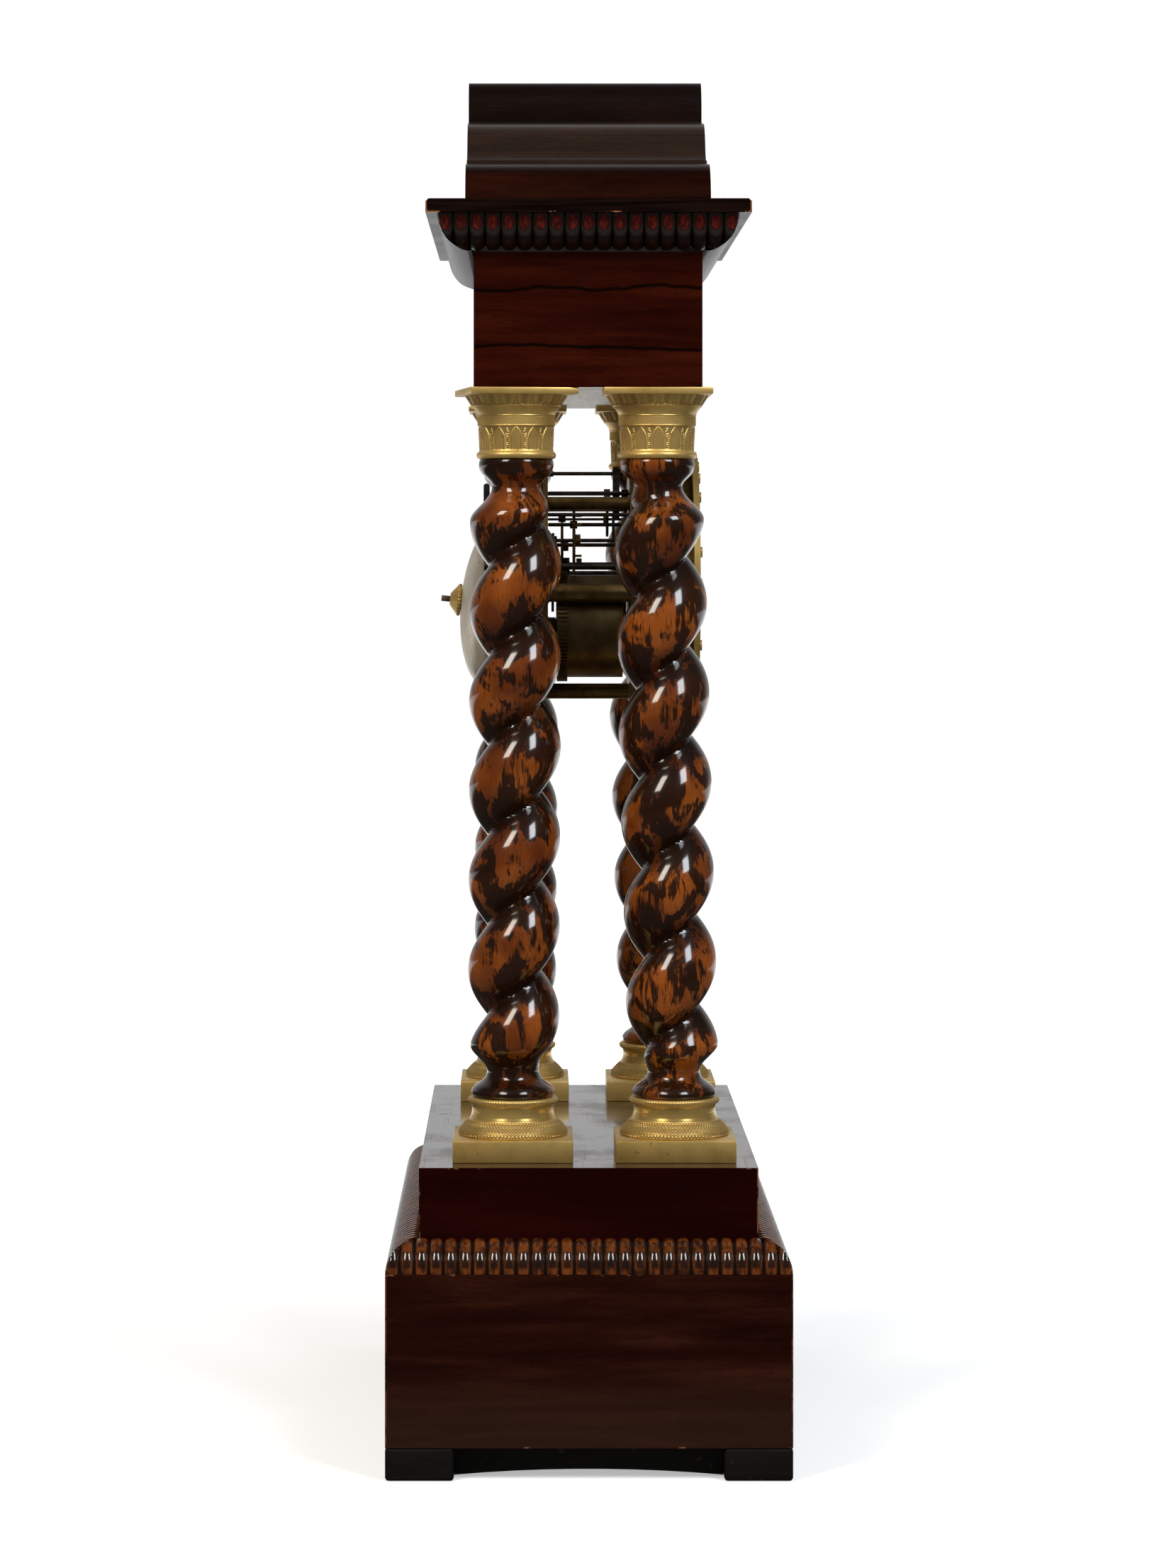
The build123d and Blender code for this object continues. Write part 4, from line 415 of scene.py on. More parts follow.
def reeded_strip(along_half, reach_half, turn, radius, reeds, depth, level, rise_sign):
    """One mitred strip: a quarter round swept along a side, its reeds side by side along it."""
    pitch = 2 * along_half / reeds

    def reach_at(phase, bend):
        lobe = sin(pi * phase)
        from_end = radius * (pi / 2 - bend) / (pitch / 2)
        if from_end < 1:
            flat = cos(pi * phase) ** 2 + (1 - from_end) ** 2
            lobe = sqrt(max(1 - flat, 0.0))
        return radius - depth * (1 - lobe)

    def strip_shape(u, v):
        place = u * reeds
        index = min(int(place), reeds - 1)
        phase = place - index
        along = -along_half + (index + 0.5 - 0.5 * cos(pi * phase)) * pitch
        if v <= arc_share:
            bend = v / arc_share * pi / 2
            reach = reach_at(phase, bend)
            out, up = reach * cos(bend), reach * sin(bend)
        elif v <= 1 - flat_share:
            out, up = 0.0, reach_at(phase, pi / 2) * (1 - flat_share - v) / flat_share
        else:
            out, up = reach_at(phase, 0) * (v - 1 + flat_share) / flat_share, 0.0
        limit = along_half - radius + out
        along = min(max(along, -limit), limit)
        away = reach_half - radius + out
        x = along * cos(turn) - away * sin(turn)
        y = along * sin(turn) + away * cos(turn)
        return x, y, level + rise_sign * up

    strip = wrapped("strip", reeds * reed_steps, strip_rows, strip_shape)
    for corner in strip.data.uv_layers.active.data:
        corner.uv.x *= reeds
    return strip


def reeded_frame(name, half_x, half_y, radius, reeds_x, reeds_y, depth, level, rise_sign):
    """Four mitred strips round a box."""
    strips = []
    for quarter in range(4):
        even = quarter % 2 == 0
        along, reach, reeds = (half_x, half_y, reeds_x) if even else (half_y, half_x, reeds_y)
        turn = quarter * pi / 2
        strips.append(reeded_strip(along, reach, turn, radius, reeds, depth, level, rise_sign))
    return joined_up(name, strips)


def reed_cells(finish):
    """How far up its reed's half round a point lies, and its share of the quarter's bend."""
    grid = finish.split(finish.shade("ShaderNodeTexCoord", output="UV"))
    return (grid[0].part() * pi).wave(), grid[1] / arc_share


base_moulding_radius = 0.013
base_reeds_long = 52
base_reeds_short = 28
base_reed_depth = 0.0023
amber = Finish(
    "varnished reeds", (0.08, 0.02, 0.004), 0.3, specular=0.1, coat=1.0, coat_roughness=0.06
)
amber_crest, amber_bend = reed_cells(amber)
amber_tone = amber.stretched(150, detail=4, rough=0.6)
amber_streak = amber.stretched(500, 500, 60, detail=3)
amber_figure = amber_tone * 0.6 + amber_streak * 0.4
amber_tones = ((0.03, 0.007, 0.0015), (0.14, 0.034, 0.0045))
amber_colour = amber.between(amber_figure, 0.42, 0.6, *amber_tones)
# Painted dark reflection: a dark band across each reed's crest, at the height where the soft boxes'
# highlights fall, stands in for the dark room mirrored round them.
painted_dark_reflection = amber.rise(amber_bend, 0.08, 0.15) * (1 - amber.rise(amber_bend, 0.42, 0.49))
painted_dark_reflection = painted_dark_reflection * amber.rise(amber_crest, 0.75, 0.95)
amber_colour = amber.mix(painted_dark_reflection * 0.9, amber_colour, (0.008, 0.003, 0.0015))
amber_colour = amber.between(amber_crest, 0.55, 0.82, (0.016, 0.007, 0.0045), amber_colour)
groove = 1 - amber.rise(amber_crest, 0.12, 0.42)
amber.tint(amber.mix(groove * 0.8, amber_colour, (0.045, 0.035, 0.028)), groove * 0.4 + 0.25)
amber.feed("Coat Weight", 1 - groove * 0.8)
base_reeds = reeded_frame(
    "base_reeds", base_half_x, base_half_y, base_moulding_radius,
    base_reeds_long, base_reeds_short, base_reed_depth, base_high, 1,
)
finished(base_reeds, amber, "case", "rosewood", "base_reed_moulding")


# Column bases
# Each column stands on a cast brass base: a square plinth, a cushion knurled in diamonds,
# a plain hollow and a fine roped ring. They are held down by the tie rods.
def cast_brass(name):
    """Old lacquered brass: satin, cleaner in places, with fine file marks and a few spots."""
    finish = Finish(name, (0.6, 0.4, 0.12), 0.42, metallic=0.72)
    tarnished = (0.48, 0.31, 0.092)
    patches = finish.stretched(55, detail=5, rough=0.6)
    fine = finish.stretched(1400, 1400, 300, detail=3)
    colour = finish.between(patches, 0.38, 0.7, (0.7, 0.475, 0.155), tarnished)
    spot = finish.rise(finish.stretched(330, detail=2), 0.7, 0.76)
    colour = finish.mix(spot * 0.8, colour, (0.09, 0.045, 0.016))
    finish.roughness = patches * 0.16 + fine * 0.14 + 0.26
    finish.tint(finish.mix(fine * 0.25, colour, tarnished), finish.roughness)
    finish.relief(fine, 0.000018)
    return finish


gilt = cast_brass("cast brass")
cut_brass = cast_brass("cut brass")
hollow = cut_brass.rise(cut_brass.z, 0.1362, 0.1368)
hollow = hollow * (1 - cut_brass.rise(cut_brass.z, 0.1422, 0.1426))
how_deep = cut_brass.shade("ShaderNodeAttribute", {"attribute_name": "cut"}, output="Fac")
cuts = cut_brass.rise(how_deep, 0.3, 1.0)
cut_colour = cut_brass.mix(cuts * 0.45, cut_brass.colour, (0.16, 0.095, 0.03))
cut_brass.tint(cut_colour, cut_brass.roughness - hollow * 0.17)

column_x = 0.1
base_y = {-1: -0.035, 1: 0.03}
head_y = {-1: -0.0281, 1: 0.0287}
plinth_half = 0.024
plinth_height = 0.0088
base_profile = [
    (0.0, 0.0), (0.0, 0.0216), (0.0004, 0.022), (0.001, 0.0221), (0.0018, 0.0219),
    (0.0026, 0.0215), (0.0034, 0.0208), (0.0042, 0.0201), (0.005, 0.0193), (0.0056, 0.0186),
    (0.0061, 0.0181), (0.00615, 0.0177), (0.0064, 0.0174), (0.007, 0.0172), (0.008, 0.0168),
    (0.0095, 0.0165), (0.011, 0.0165), (0.0122, 0.0168), (0.0127, 0.01715), (0.01275, 0.0176),
    (0.013, 0.0179), (0.0136, 0.0182), (0.0142, 0.0182), (0.0147, 0.0179), (0.015, 0.0175),
    (0.0151, 0.0168), (0.0151, 0.0),
]


def lathe_rows(profile, step):
    """A turned profile cut into short even rows."""
    rows = [profile[0]]
    for low, high in zip(profile, profile[1:]):
        count = max(1, round(hypot(high[0] - low[0], high[1] - low[1]) / step))
        if low[1] == 0 or high[1] == 0:
            count = 1
        for share in (index / count for index in range(1, count + 1)):
            height = low[0] + (high[0] - low[0]) * share
            rows.append((height, low[1] + (high[1] - low[1]) * share))
    return rows


def turned(name, columns, rows, centre, level, cutting, deepest):
    """A turned casting on an axis, with ornament cut into it; the finish reads how deep."""

    def turned_shape(u, v):
        height, radius = rows[round(v * (len(rows) - 1))]
        angle = 2 * pi * u
        if radius:
            radius -= cutting(angle, height)
        return centre[0] + radius * cos(angle), centre[1] + radius * sin(angle), level + height

    piece = wrapped(name, columns, len(rows) - 1, turned_shape)
    cut = piece.data.attributes.new("cut", "FLOAT", "POINT")
    for vertex, value in zip(piece.data.vertices, cut.data):
        angle = atan2(vertex.co.y - centre[1], vertex.co.x - centre[0])
        value.value = cutting(angle, vertex.co.z - level) / deepest
    return piece


def diamonds(angle, share, count, crossings, flat):
    """How much of a hatched band is cut away: 0 on a diamond and 1 in the grooves round it."""
    slope = share * pi * crossings
    first = abs(sin(count * angle + slope))
    second = abs(sin(count * angle - slope))
    return 1 - min(first, second, flat) / flat


knurl_count = 48
knurl_depth = 0.00032
knurl_full = knurl_depth * 0.42
cushion_low = 0.0006
cushion_high = 0.006
rope_low = 0.0128
rope_high = 0.0148
rope_lean = 900
base_step = 0.00024
plinth_easing = 0.0005


def knurl(angle, height):
    """How deep the cushion is cut between its diamonds, and the ring between its strands."""
    if cushion_low < height < cushion_high:
        share = (height - cushion_low) / (cushion_high - cushion_low)
        return knurl_depth * diamonds(angle, share, knurl_count, 4.5, 0.7)
    if rope_low < height < rope_high:
        return knurl_depth * 0.6 * (1 - abs(sin(knurl_count * angle + height * rope_lean)))
    return 0.0


base_rows = lathe_rows(base_profile, base_step)
for side, x_sign in (("left", -1), ("right", 1)):
    bases = []
    for y_sign, y in base_y.items():
        x = x_sign * column_x
        level = step_top_level + plinth_height
        facets = 12 * knurl_count
        bases.append(turned("turned base", facets, base_rows, (x, y), level, knurl, knurl_full))
        low = (x - plinth_half, y - plinth_half, step_top_level)
        high = (x + plinth_half, y + plinth_half, level)
        bases.append(block("plinth", low, high, plinth_easing))
    pair = joined_up("column_bases_" + side, bases)
    finished(pair, cut_brass, "case", "cast_brass", "column_bases")

# Twisted columns
# Wooden shafts turned to a single right-handed twist, with a round foot and a collar at
# the ends. They are painted in black-brown brush marks over orange-brown and varnished.
twist_tube = 0.0141
twist_swing = 0.0044
twist_pitch = 0.0361
shaft_low = 0.1449
shaft_length = 0.2567
foot_run_in = 0.012
collar_run_in = 0.014
foot_profile = [
    (0.0, 0.0156), (0.001, 0.0166), (0.0026, 0.0168), (0.0042, 0.0157), (0.0052, 0.0143),
    (0.0064, 0.0125), (0.0078, 0.0111), (0.01, 0.0104),
]
collar_profile = [
    (0.0, 0.0144), (0.001, 0.015), (0.0025, 0.0151), (0.0045, 0.0147), (0.0062, 0.0137),
    (0.0078, 0.012), (0.0092, 0.0105), (0.0108, 0.0098),
]


def tube_reach(angle):
    """How far the wound tube reaches from the axis in a level cut, at an angle from its crest."""
    reach = 0.0
    cuts_each_way = 60
    for index in range(-cuts_each_way, cuts_each_way + 1):
        turn = index / cuts_each_way * 2 * pi * twist_tube / twist_pitch
        rise = twist_pitch * turn / (2 * pi)
        radius = sqrt(max(twist_tube ** 2 - rise ** 2, 0.0))
        across = twist_swing * sin(turn - angle)
        if abs(across) < radius:
            reach = max(reach, twist_swing * cos(turn - angle) + sqrt(radius ** 2 - across ** 2))
    return reach


reaches = [tube_reach(radians(degree)) for degree in range(361)]


def eased(share):
    """A share from 0 to 1 that starts and stops gently."""
    share = min(max(share, 0.0), 1.0)
    return share * share * (3 - 2 * share)


def profile_radius(profile, height):
    """The radius of a turned profile at a height, smoothly between its points."""
    for (low, first), (high, second) in zip(profile, profile[1:]):
        if height <= high:
            return first + (second - first) * (height - low) / (high - low)
    return profile[-1][1]


starts = {-1: 77.5, 1: 302.4}
shaft_columns = 64
shaft_rows = 300
foot_end = foot_profile[-1][0]
collar_end = collar_profile[-1][0]
shafts = []
for x_sign in (-1, 1):
    for y_sign, start in starts.items():

        def shaft_shape(u, v):
            height = shaft_length * v
            angle = 2 * pi * u
            from_top = shaft_length - height
            strength = eased((height - foot_end) / foot_run_in)
            strength *= eased((from_top - collar_end) / collar_run_in)
            if height < from_top:
                radius = profile_radius(foot_profile, height)
            else:
                radius = profile_radius(collar_profile, from_top)
            if strength > 0:
                degree = (360 * u - start - 360 * height / twist_pitch) % 360
                whole = int(degree)
                reach = reaches[whole] + (reaches[whole + 1] - reaches[whole]) * (degree - whole)
                radius += (reach - radius) * strength
            y = base_y[y_sign] + (head_y[y_sign] - base_y[y_sign]) * v
            x = x_sign * column_x
            return x + radius * cos(angle), y + radius * sin(angle), shaft_low + height

        shaft = wrapped("shaft", shaft_columns, shaft_rows, shaft_shape)
        for corner in shaft.data.uv_layers.active.data:
            corner.uv.x -= start / 360 + shaft_length * corner.uv.y / twist_pitch
        shafts.append(shaft)
painted_wood = Finish(
    "painted column wood", (0.2, 0.06, 0.012), 0.45, specular=0.04, coat=1.0, coat_roughness=0.11
)
shaft_uv = painted_wood.shade("ShaderNodeTexCoord", output="UV")
round_crest = painted_wood.split(shaft_uv)[0]
valley = 0.5 - (round_crest * 2 * pi + pi / 2).wave() * 0.5
grain = painted_wood.stretched(1300, 1300, 60, detail=4, rough=0.6)
brush = painted_wood.stretched(720, 720, 62, detail=4, rough=0.65)
blotch = painted_wood.stretched(88, 88, 58, detail=2, distortion=0.9)
cloud = painted_wood.stretched(45, 45, 40, detail=2)
red_brown = (0.088, 0.017, 0.0018)
orange_brown = (0.235, 0.058, 0.0055)
ground = painted_wood.between(cloud + grain * 0.3, 0.45, 0.8, red_brown, orange_brown)
pore = painted_wood.rise(grain, 0.52, 0.66)
ground = painted_wood.mix(pore * 0.6, ground, (0.03, 0.007, 0.0018))
# Painted shade: the ground darkens down into the twist's valleys, and the brush marks lean a little
# towards the valleys as well.
painted_valley_shade = painted_wood.rise(valley, 0.45, 1.0)
ground = painted_wood.mix(painted_valley_shade * 0.75, ground, (0.022, 0.005, 0.0014))
paint = blotch * 0.64 + brush * 0.34 + (cloud - 0.5) * 0.1 + valley * 0.07
dark = painted_wood.rise(paint, 0.478, 0.535)
brushed = painted_wood.mix(dark * 0.93, ground, (0.008, 0.0026, 0.001))
painted_wood.tint(brushed, grain * 0.2 + 0.3)
painted_wood.relief(grain + brush * 0.6, 0.00003)
columns = joined_up("twisted_columns", shafts)
finished(columns, painted_wood, "case", "column_wood", "column_shafts")

# Column capitals
# Cast and chased brass: a bead, a band of pointed arches with stalks between them, a
# cross-hatched band, a hollow and a flare with hanging tongues, and a thin square abacus.
head_level = 0.4016
abacus_half = 0.02175
abacus_low = 0.4272
abacus_high = 0.4298
arch_count = 13
tongue_count = 18
hatch_count = 65
capital_profile = [
    (0.0, 0.0), (0.0, 0.015), (0.0003, 0.0156), (0.0009, 0.01595), (0.0015, 0.01605),
    (0.0021, 0.0159), (0.0026, 0.0155), (0.0029, 0.0151), (0.0031, 0.01495), (0.0034, 0.0149),
    (0.0128, 0.0153), (0.0131, 0.0153), (0.0133, 0.0156), (0.0171, 0.0156), (0.0173, 0.0158),
    (0.0176, 0.0157), (0.0186, 0.016), (0.0196, 0.0166), (0.0204, 0.0173), (0.0208, 0.0178),
    (0.021, 0.01805), (0.0213, 0.0181), (0.0222, 0.0188), (0.0236, 0.0197), (0.025, 0.0206),
    (0.0256, 0.0209), (0.0256, 0.0),
]


def near(distance, width):
    """1 on a line and 0 beyond its width, rounded like a cast ridge."""
    share = abs(distance) / width
    return 0.0 if share >= 1 else cos(share * pi / 2)


chasing_depth = 0.00034
arches_low = 0.0034
arches_high = 0.0129
hatching_low = 0.0134
hatching_high = 0.017
tongues_low = 0.0214
tongues_high = 0.0254


def arch_ridges(cell, up):
    """The cast ridges of one pointed arch and of the stalk with its bud between two arches."""
    crown = min(max((up - 0.3) / 0.66, 0.0), 1.0)
    bow = 0.34 * (1 - crown ** 2.5)
    aside = 0.5 - abs(cell)
    ridges = [near(hypot(aside * 7.2, (up - 0.86) * 9.5), 0.55)]
    if up < 0.97:
        ridges.append(near(abs(cell) - bow, 0.06))
    if up < 0.8:
        ridges.append(near(abs(cell) - bow * 0.66, 0.04) * 0.55)
    if abs(cell) < bow * 0.55:
        ridges.append(0.2 + near((cell * 16) % 1.0 - 0.5, 0.5) * 0.3)
    if up < 0.7:
        ridges.append(near(aside - 0.085, 0.035) * 0.7)
    if up < 0.7 and aside < 0.075:
        ridges.append(0.8 * sin(up * 70 + aside * 16))
    if up > 0.72:
        ridges.append(near(hypot(aside * 7.2, (up - 0.74) * 9.5) - 0.5, 0.28) * 0.8)
    return max(ridges)


def tongue_ridges(cell, up):
    """The cast ridges of one hanging tongue and of the dart between two tongues."""
    foot = min(max(1 - up / 0.45, 0.0), 1.0)
    bow = 0.34 * sqrt(1 - foot ** 2)
    ridges = [near(0.5 - abs(cell), 0.06) * 0.7]
    if up > 0.02:
        ridges.append(near(abs(cell) - bow, 0.07))
    if up > 0.2:
        ridges.append(near(abs(cell) - bow * 0.62, 0.06) * 0.7)
    return max(ridges)


def chasing(angle, height):
    """How deep a capital's ground is cut round its arches, stalks, diamonds and tongues."""
    if arches_low < height < arches_high:
        cell = (angle * arch_count / (2 * pi)) % 1.0 - 0.5
        up = (height - arches_low) / (arches_high - arches_low)
        return chasing_depth * (1 - arch_ridges(cell, up))
    if hatching_low < height < hatching_high:
        share = (height - hatching_low) / (hatching_high - hatching_low)
        return chasing_depth * 0.7 * diamonds(angle, share, hatch_count, 3.5, 0.75)
    if tongues_low < height < tongues_high:
        cell = (angle * tongue_count / (2 * pi)) % 1.0 - 0.5
        up = (height - tongues_low) / (tongues_high - tongues_low)
        return chasing_depth * (1 - tongue_ridges(cell, up))
    return 0.0


capital_step = 0.00026
capital_rows = lathe_rows(capital_profile, capital_step)
abacus_easing = 0.0003
rear_abacus_turn = Matrix.Rotation(radians(9.5), 4, "Z")
for x_sign, side in ((-1, "left"), (1, "right")):
    for y_sign, y in head_y.items():
        x = x_sign * column_x
        facets = 40 * arch_count
        casting = turned(
            "turned capital", facets, capital_rows, (x, y), head_level, chasing, chasing_depth
        )
        low = (x - abacus_half, y - abacus_half, abacus_low)
        high = (x + abacus_half, y + abacus_half, abacus_high)
        abacus = block("abacus", low, high, abacus_easing)
        if x_sign < 0 < y_sign:
            out = Matrix.Translation((x, y, 0))
            abacus.data.transform(out @ rear_abacus_turn @ out.inverted())
        name = "capital_" + side + ("_rear" if y_sign > 0 else "_front")
        capital = joined_up(name, [casting, abacus])
        finished(capital, cut_brass, "case", "cast_brass", "column_capitals")

# Tie rods
# Iron rods run down through the columns, with a nut at each end inside the boxes. They
# clamp the base, the columns and the frieze together.
iron = Finish("forged iron", (0.05, 0.045, 0.04), 0.5, metallic=0.9)
rust = iron.rise(iron.stretched(300, 300, 120, detail=5), 0.45, 0.65)
iron.tint(iron.mix(rust, (0.06, 0.055, 0.05), (0.1, 0.045, 0.02)), rust * 0.35 + 0.4)
dress(iron, "tie_rods", "tie_rod_nuts")

# Frieze
# A veneered box that rests on the capitals. Two wavy black lines of heartwood run right
# round it. Its soffit is a bare board, gone pale grey.
frieze_tones = [(0.007, 0.0006, 0.0002), (0.0185, 0.002, 0.0006), (0.038, 0.0052, 0.0015)]
heartwood_lines = ((0.469, 0.015), (0.4458, 0.011))
frieze_veneer = rosewood("frieze rosewood", frieze_tones, lines=heartwood_lines)
dress(frieze_veneer, "frieze_carcass")
bare_board = Finish("bare board", (0.5, 0.45, 0.4), 0.42, specular=0.6)
board_grain = bare_board.stretched(20, 400, 400, detail=5, rough=0.6)
board_dirt = bare_board.rise(bare_board.stretched(45, detail=5), 0.4, 0.7)
board_colour = bare_board.between(board_grain, 0.35, 0.7, (0.52, 0.47, 0.38), (0.8, 0.76, 0.68))
bare_board.tint(bare_board.mix(board_dirt * 0.4, board_colour, (0.3, 0.22, 0.14)))
bare_board.relief(board_grain, 0.0002)
dress(bare_board, "frieze_soffit")

# Cornice
# The same reeded moulding turned upside down carries a thin black shelf. The shelf's
# edges are rubbed through to the orange wood in places.
cornice_half_x = 0.1328
cornice_half_y = 0.05995
cornice_radius = 0.0143
shelf_half_x = 0.1373
shelf_half_y = 0.06445
shelf_low = 0.4981
shelf_high = 0.5037
cornice_reeds_long = 42
cornice_reeds_short = 19
cornice_reed_depth = 0.0024
ruby = Finish(
    "dark reeds", (0.01, 0.005, 0.004), 0.32, specular=0.15, coat=0.3, coat_roughness=0.1
)
ruby_crest, ruby_bend = reed_cells(ruby)
# Painted light: a red painted glow on the upper part of each reed's crest, and a grey painted sheen
# round and below it.
ruby_from_heart = (1 - ruby_crest) * 3.6 + ((ruby_bend - 0.16) * 7.0).power(2.0)
painted_red_glow = 1 - ruby.rise(ruby_from_heart, 0.65, 1.05)
painted_grey_sheen = ruby.rise(ruby_from_heart, 0.9, 1.3) * (1 - ruby.rise(ruby_from_heart, 2.2, 4.5))
ruby_speck = ruby.stretched(900, 900, 400, detail=3)
ruby_tones = ((0.0022, 0.0012, 0.001), (0.008, 0.0026, 0.0018))
ruby_dark = ruby.between(ruby_crest, 0.2, 0.55, *ruby_tones)
ruby_dark = ruby.mix(painted_grey_sheen * 0.8, ruby_dark, (0.024, 0.018, 0.016))
painted_glow_red = ruby.between(ruby_speck, 0.35, 0.7, (0.035, 0.0015, 0.0006), (0.12, 0.009, 0.003))
ruby.tint(ruby.mix(painted_red_glow, ruby_dark, painted_glow_red), 0.45 - ruby_crest * 0.15)
cornice_reeds = reeded_frame(
    "cornice_reeds", cornice_half_x, cornice_half_y, cornice_radius,
    cornice_reeds_long, cornice_reeds_short, cornice_reed_depth, shelf_low, -1,
)
finished(cornice_reeds, ruby, "case", "rosewood", "cornice_reed_moulding")
shelf_wood = Finish("black shelf", (0.0065, 0.003, 0.002), 0.35, specular=0.06)
shelf_grain = shelf_wood.stretched(30, 30, 700, detail=4)
shelf_tones = ((0.0022, 0.0007, 0.0004), (0.0075, 0.0024, 0.0013))
shelf_wood.tint(shelf_wood.between(shelf_grain, 0.35, 0.65, *shelf_tones), shelf_grain * 0.2 + 0.25)
rub_edges(shelf_wood, shelf_half_x, shelf_half_y, shelf_low, shelf_high, 0.9, 0.22)
dress(shelf_wood, "cornice_slab")

# Pediment
# Three stacked mouldings run from front to back: a broad step, an ogee and a top roll.
# They are veneered like the boxes. The ogee is given greyer tones, a painted sheen of the light
# from above on its slopes.
low_tones = [(0.0035, 0.0006, 0.0003), (0.0085, 0.0015, 0.0006), (0.019, 0.0038, 0.0014)]
# Greyer tones for the ogee: painted sheen of light from above on its slopes.
painted_sheen_tones = [(0.009, 0.0052, 0.0036), (0.0165, 0.0095, 0.0066), (0.03, 0.0145, 0.009)]
top_tones = [(0.003, 0.0017, 0.0013), (0.006, 0.003, 0.0022), (0.013, 0.0052, 0.0034)]
for tier, name, tones, gloss in (
    ("lower", "low rosewood", low_tones, 0.07),
    ("middle", "sheen painted rosewood", painted_sheen_tones, 0.28),
    ("top", "top rosewood", top_tones, 0.12),
):
    tier_veneer = rosewood(name, tones, gloss=gloss, lengthwise_top=False)
    dress(tier_veneer, "pediment_" + tier)

# Hanger, dial pan and pillars of the dial
# The movement hangs by a brass plate that is screwed under the soffit. The pan behind the
# dial is spun brass, and four turned pillars tie it to the front plate.
brass = Finish("movement brass", (0.3, 0.21, 0.085), 0.3, metallic=1.0)
brass_patch = brass.stretched(55, detail=5, rough=0.6)
brass_grain = brass.stretched(900, detail=2)
brass_colour = brass.between(brass_patch, 0.36, 0.68, (0.36, 0.255, 0.105), (0.2, 0.125, 0.05))
brass_stain = brass.rise(brass.stretched(130, detail=5, rough=0.65), 0.58, 0.72)
brass_colour = brass.mix(brass_stain * 0.6, brass_colour, (0.075, 0.042, 0.02))
brass.tint(brass_colour, brass_patch * 0.25 + brass_grain * 0.1 + 0.16)
dress(brass, "hanger_bracket", "dial_pan", "dial_pillars")
dress(brass, "front_plate", "back_plate", "plate_pillars")

# Steel work
# Arbors, pinions, levers and screws are hardened steel, browned with age.
steel = Finish("aged steel", (0.1, 0.09, 0.085), 0.32, metallic=1.0)
steel_bloom = steel.stretched(260, 90, 260, detail=5, rough=0.6)
steel_colour = steel.between(steel_bloom, 0.4, 0.65, (0.16, 0.15, 0.145), (0.06, 0.045, 0.036))
steel.tint(steel_colour, steel_bloom * 0.35 + 0.15)
steel_nodes = [
    "hanger_screws", "suspension_spring", "going_winding_arbor", "strike_winding_arbor",
    "pallet_anchor", "pendulum_rod", "regulator_arbor", "cannon_pinion", "fly", "count_lever",
    "hammer", "going_click", "strike_click",
]
dress(steel, *steel_nodes)
browned = Finish("browned steel", (0.14, 0.095, 0.06), 0.35, metallic=0.6)
browned_bloom = browned.stretched(220, 220, 90, detail=5, rough=0.6)
browned_tones = ((0.23, 0.155, 0.1), (0.065, 0.04, 0.026))
browned.tint(browned.between(browned_bloom, 0.38, 0.66, *browned_tones), browned_bloom * 0.3 + 0.2)
dress(browned, "bell_stand")

# Wheels of both trains
# Thin brass wheels on steel arbors. The brass is the same as the plates', a little
# cleaner, and the arbors show dark against it.
wheel_tones = ((0.42, 0.3, 0.125), (0.22, 0.145, 0.06))
arbor_tones = ((0.14, 0.125, 0.12), (0.055, 0.042, 0.034))
movement_z = 0.351
arbor_reach = 0.0021
wheel_brass = Finish("wheel brass", (0.36, 0.26, 0.11), 0.28, metallic=1.0)
wheel_patch = wheel_brass.stretched(120, detail=5)
wheel_colour = wheel_brass.between(wheel_patch, 0.38, 0.66, *wheel_tones)
wheel_brass.tint(wheel_colour, wheel_patch * 0.2 + 0.18)
dress(wheel_brass, "minute_wheel", "hour_wheel", "count_wheel", "crutch", "rating_nut")
dress(wheel_brass, "suspension_cock")
train = {
    "centre_wheel": (0.0, 0.0, -0.0176, -0.0152),
    "third_wheel": (0.0, 0.0164, 0.0067, 0.0102),
    "escape_wheel": (0.0, 0.02735, -0.0103, -0.0079),
    "going_intermediate_wheel": (0.0171865, 0.0037926, 0.0118, 0.0141),
    "strike_intermediate_wheel": (-0.0159454, 0.0074501, 0.0118, 0.0141),
    "pin_wheel": (-0.0267049, 0.0181441, 0.0015, 0.0054),
    "locking_wheel": (-0.0144509, 0.0249146, -0.0176, -0.0152),
}
for node, (x, up, front, back) in train.items():
    name = "arbor and wheel " + node.replace("_", " ")
    both = Finish(name, (0.36, 0.26, 0.11), 0.28, metallic=1.0)
    patch = both.stretched(120, detail=5)
    inside = (both.y > front) * (1 - (both.y > back))
    wheel = inside * ((both.x - x).reach(both.z - movement_z - up) > arbor_reach)
    plain = both.between(patch, 0.38, 0.66, *wheel_tones)
    arbor = both.between(patch, 0.38, 0.66, *arbor_tones)
    both.tint(both.mix(wheel, arbor, plain), patch * 0.25 + 0.16)
    dress(both, node)

# Barrels
# Two brass drums hold the mainsprings, and their rims are cut with teeth. Turning marks
# run round them.
drum_brass = Finish("drum brass", (0.36, 0.26, 0.11), 0.3, metallic=1.0)
turning = drum_brass.turning_marks(drum_brass.y, 2500)
drum_patch = drum_brass.stretched(60, detail=5)
drum_tones = ((0.37, 0.265, 0.115), (0.16, 0.1, 0.042))
drum_colour = drum_brass.between(drum_patch, 0.35, 0.68, *drum_tones)
drum_brass.tint(drum_colour, turning * 0.15 + drum_patch * 0.25 + 0.14)
drum_brass.relief(turning, 0.00002)
dress(drum_brass, "going_barrel", "strike_barrel")

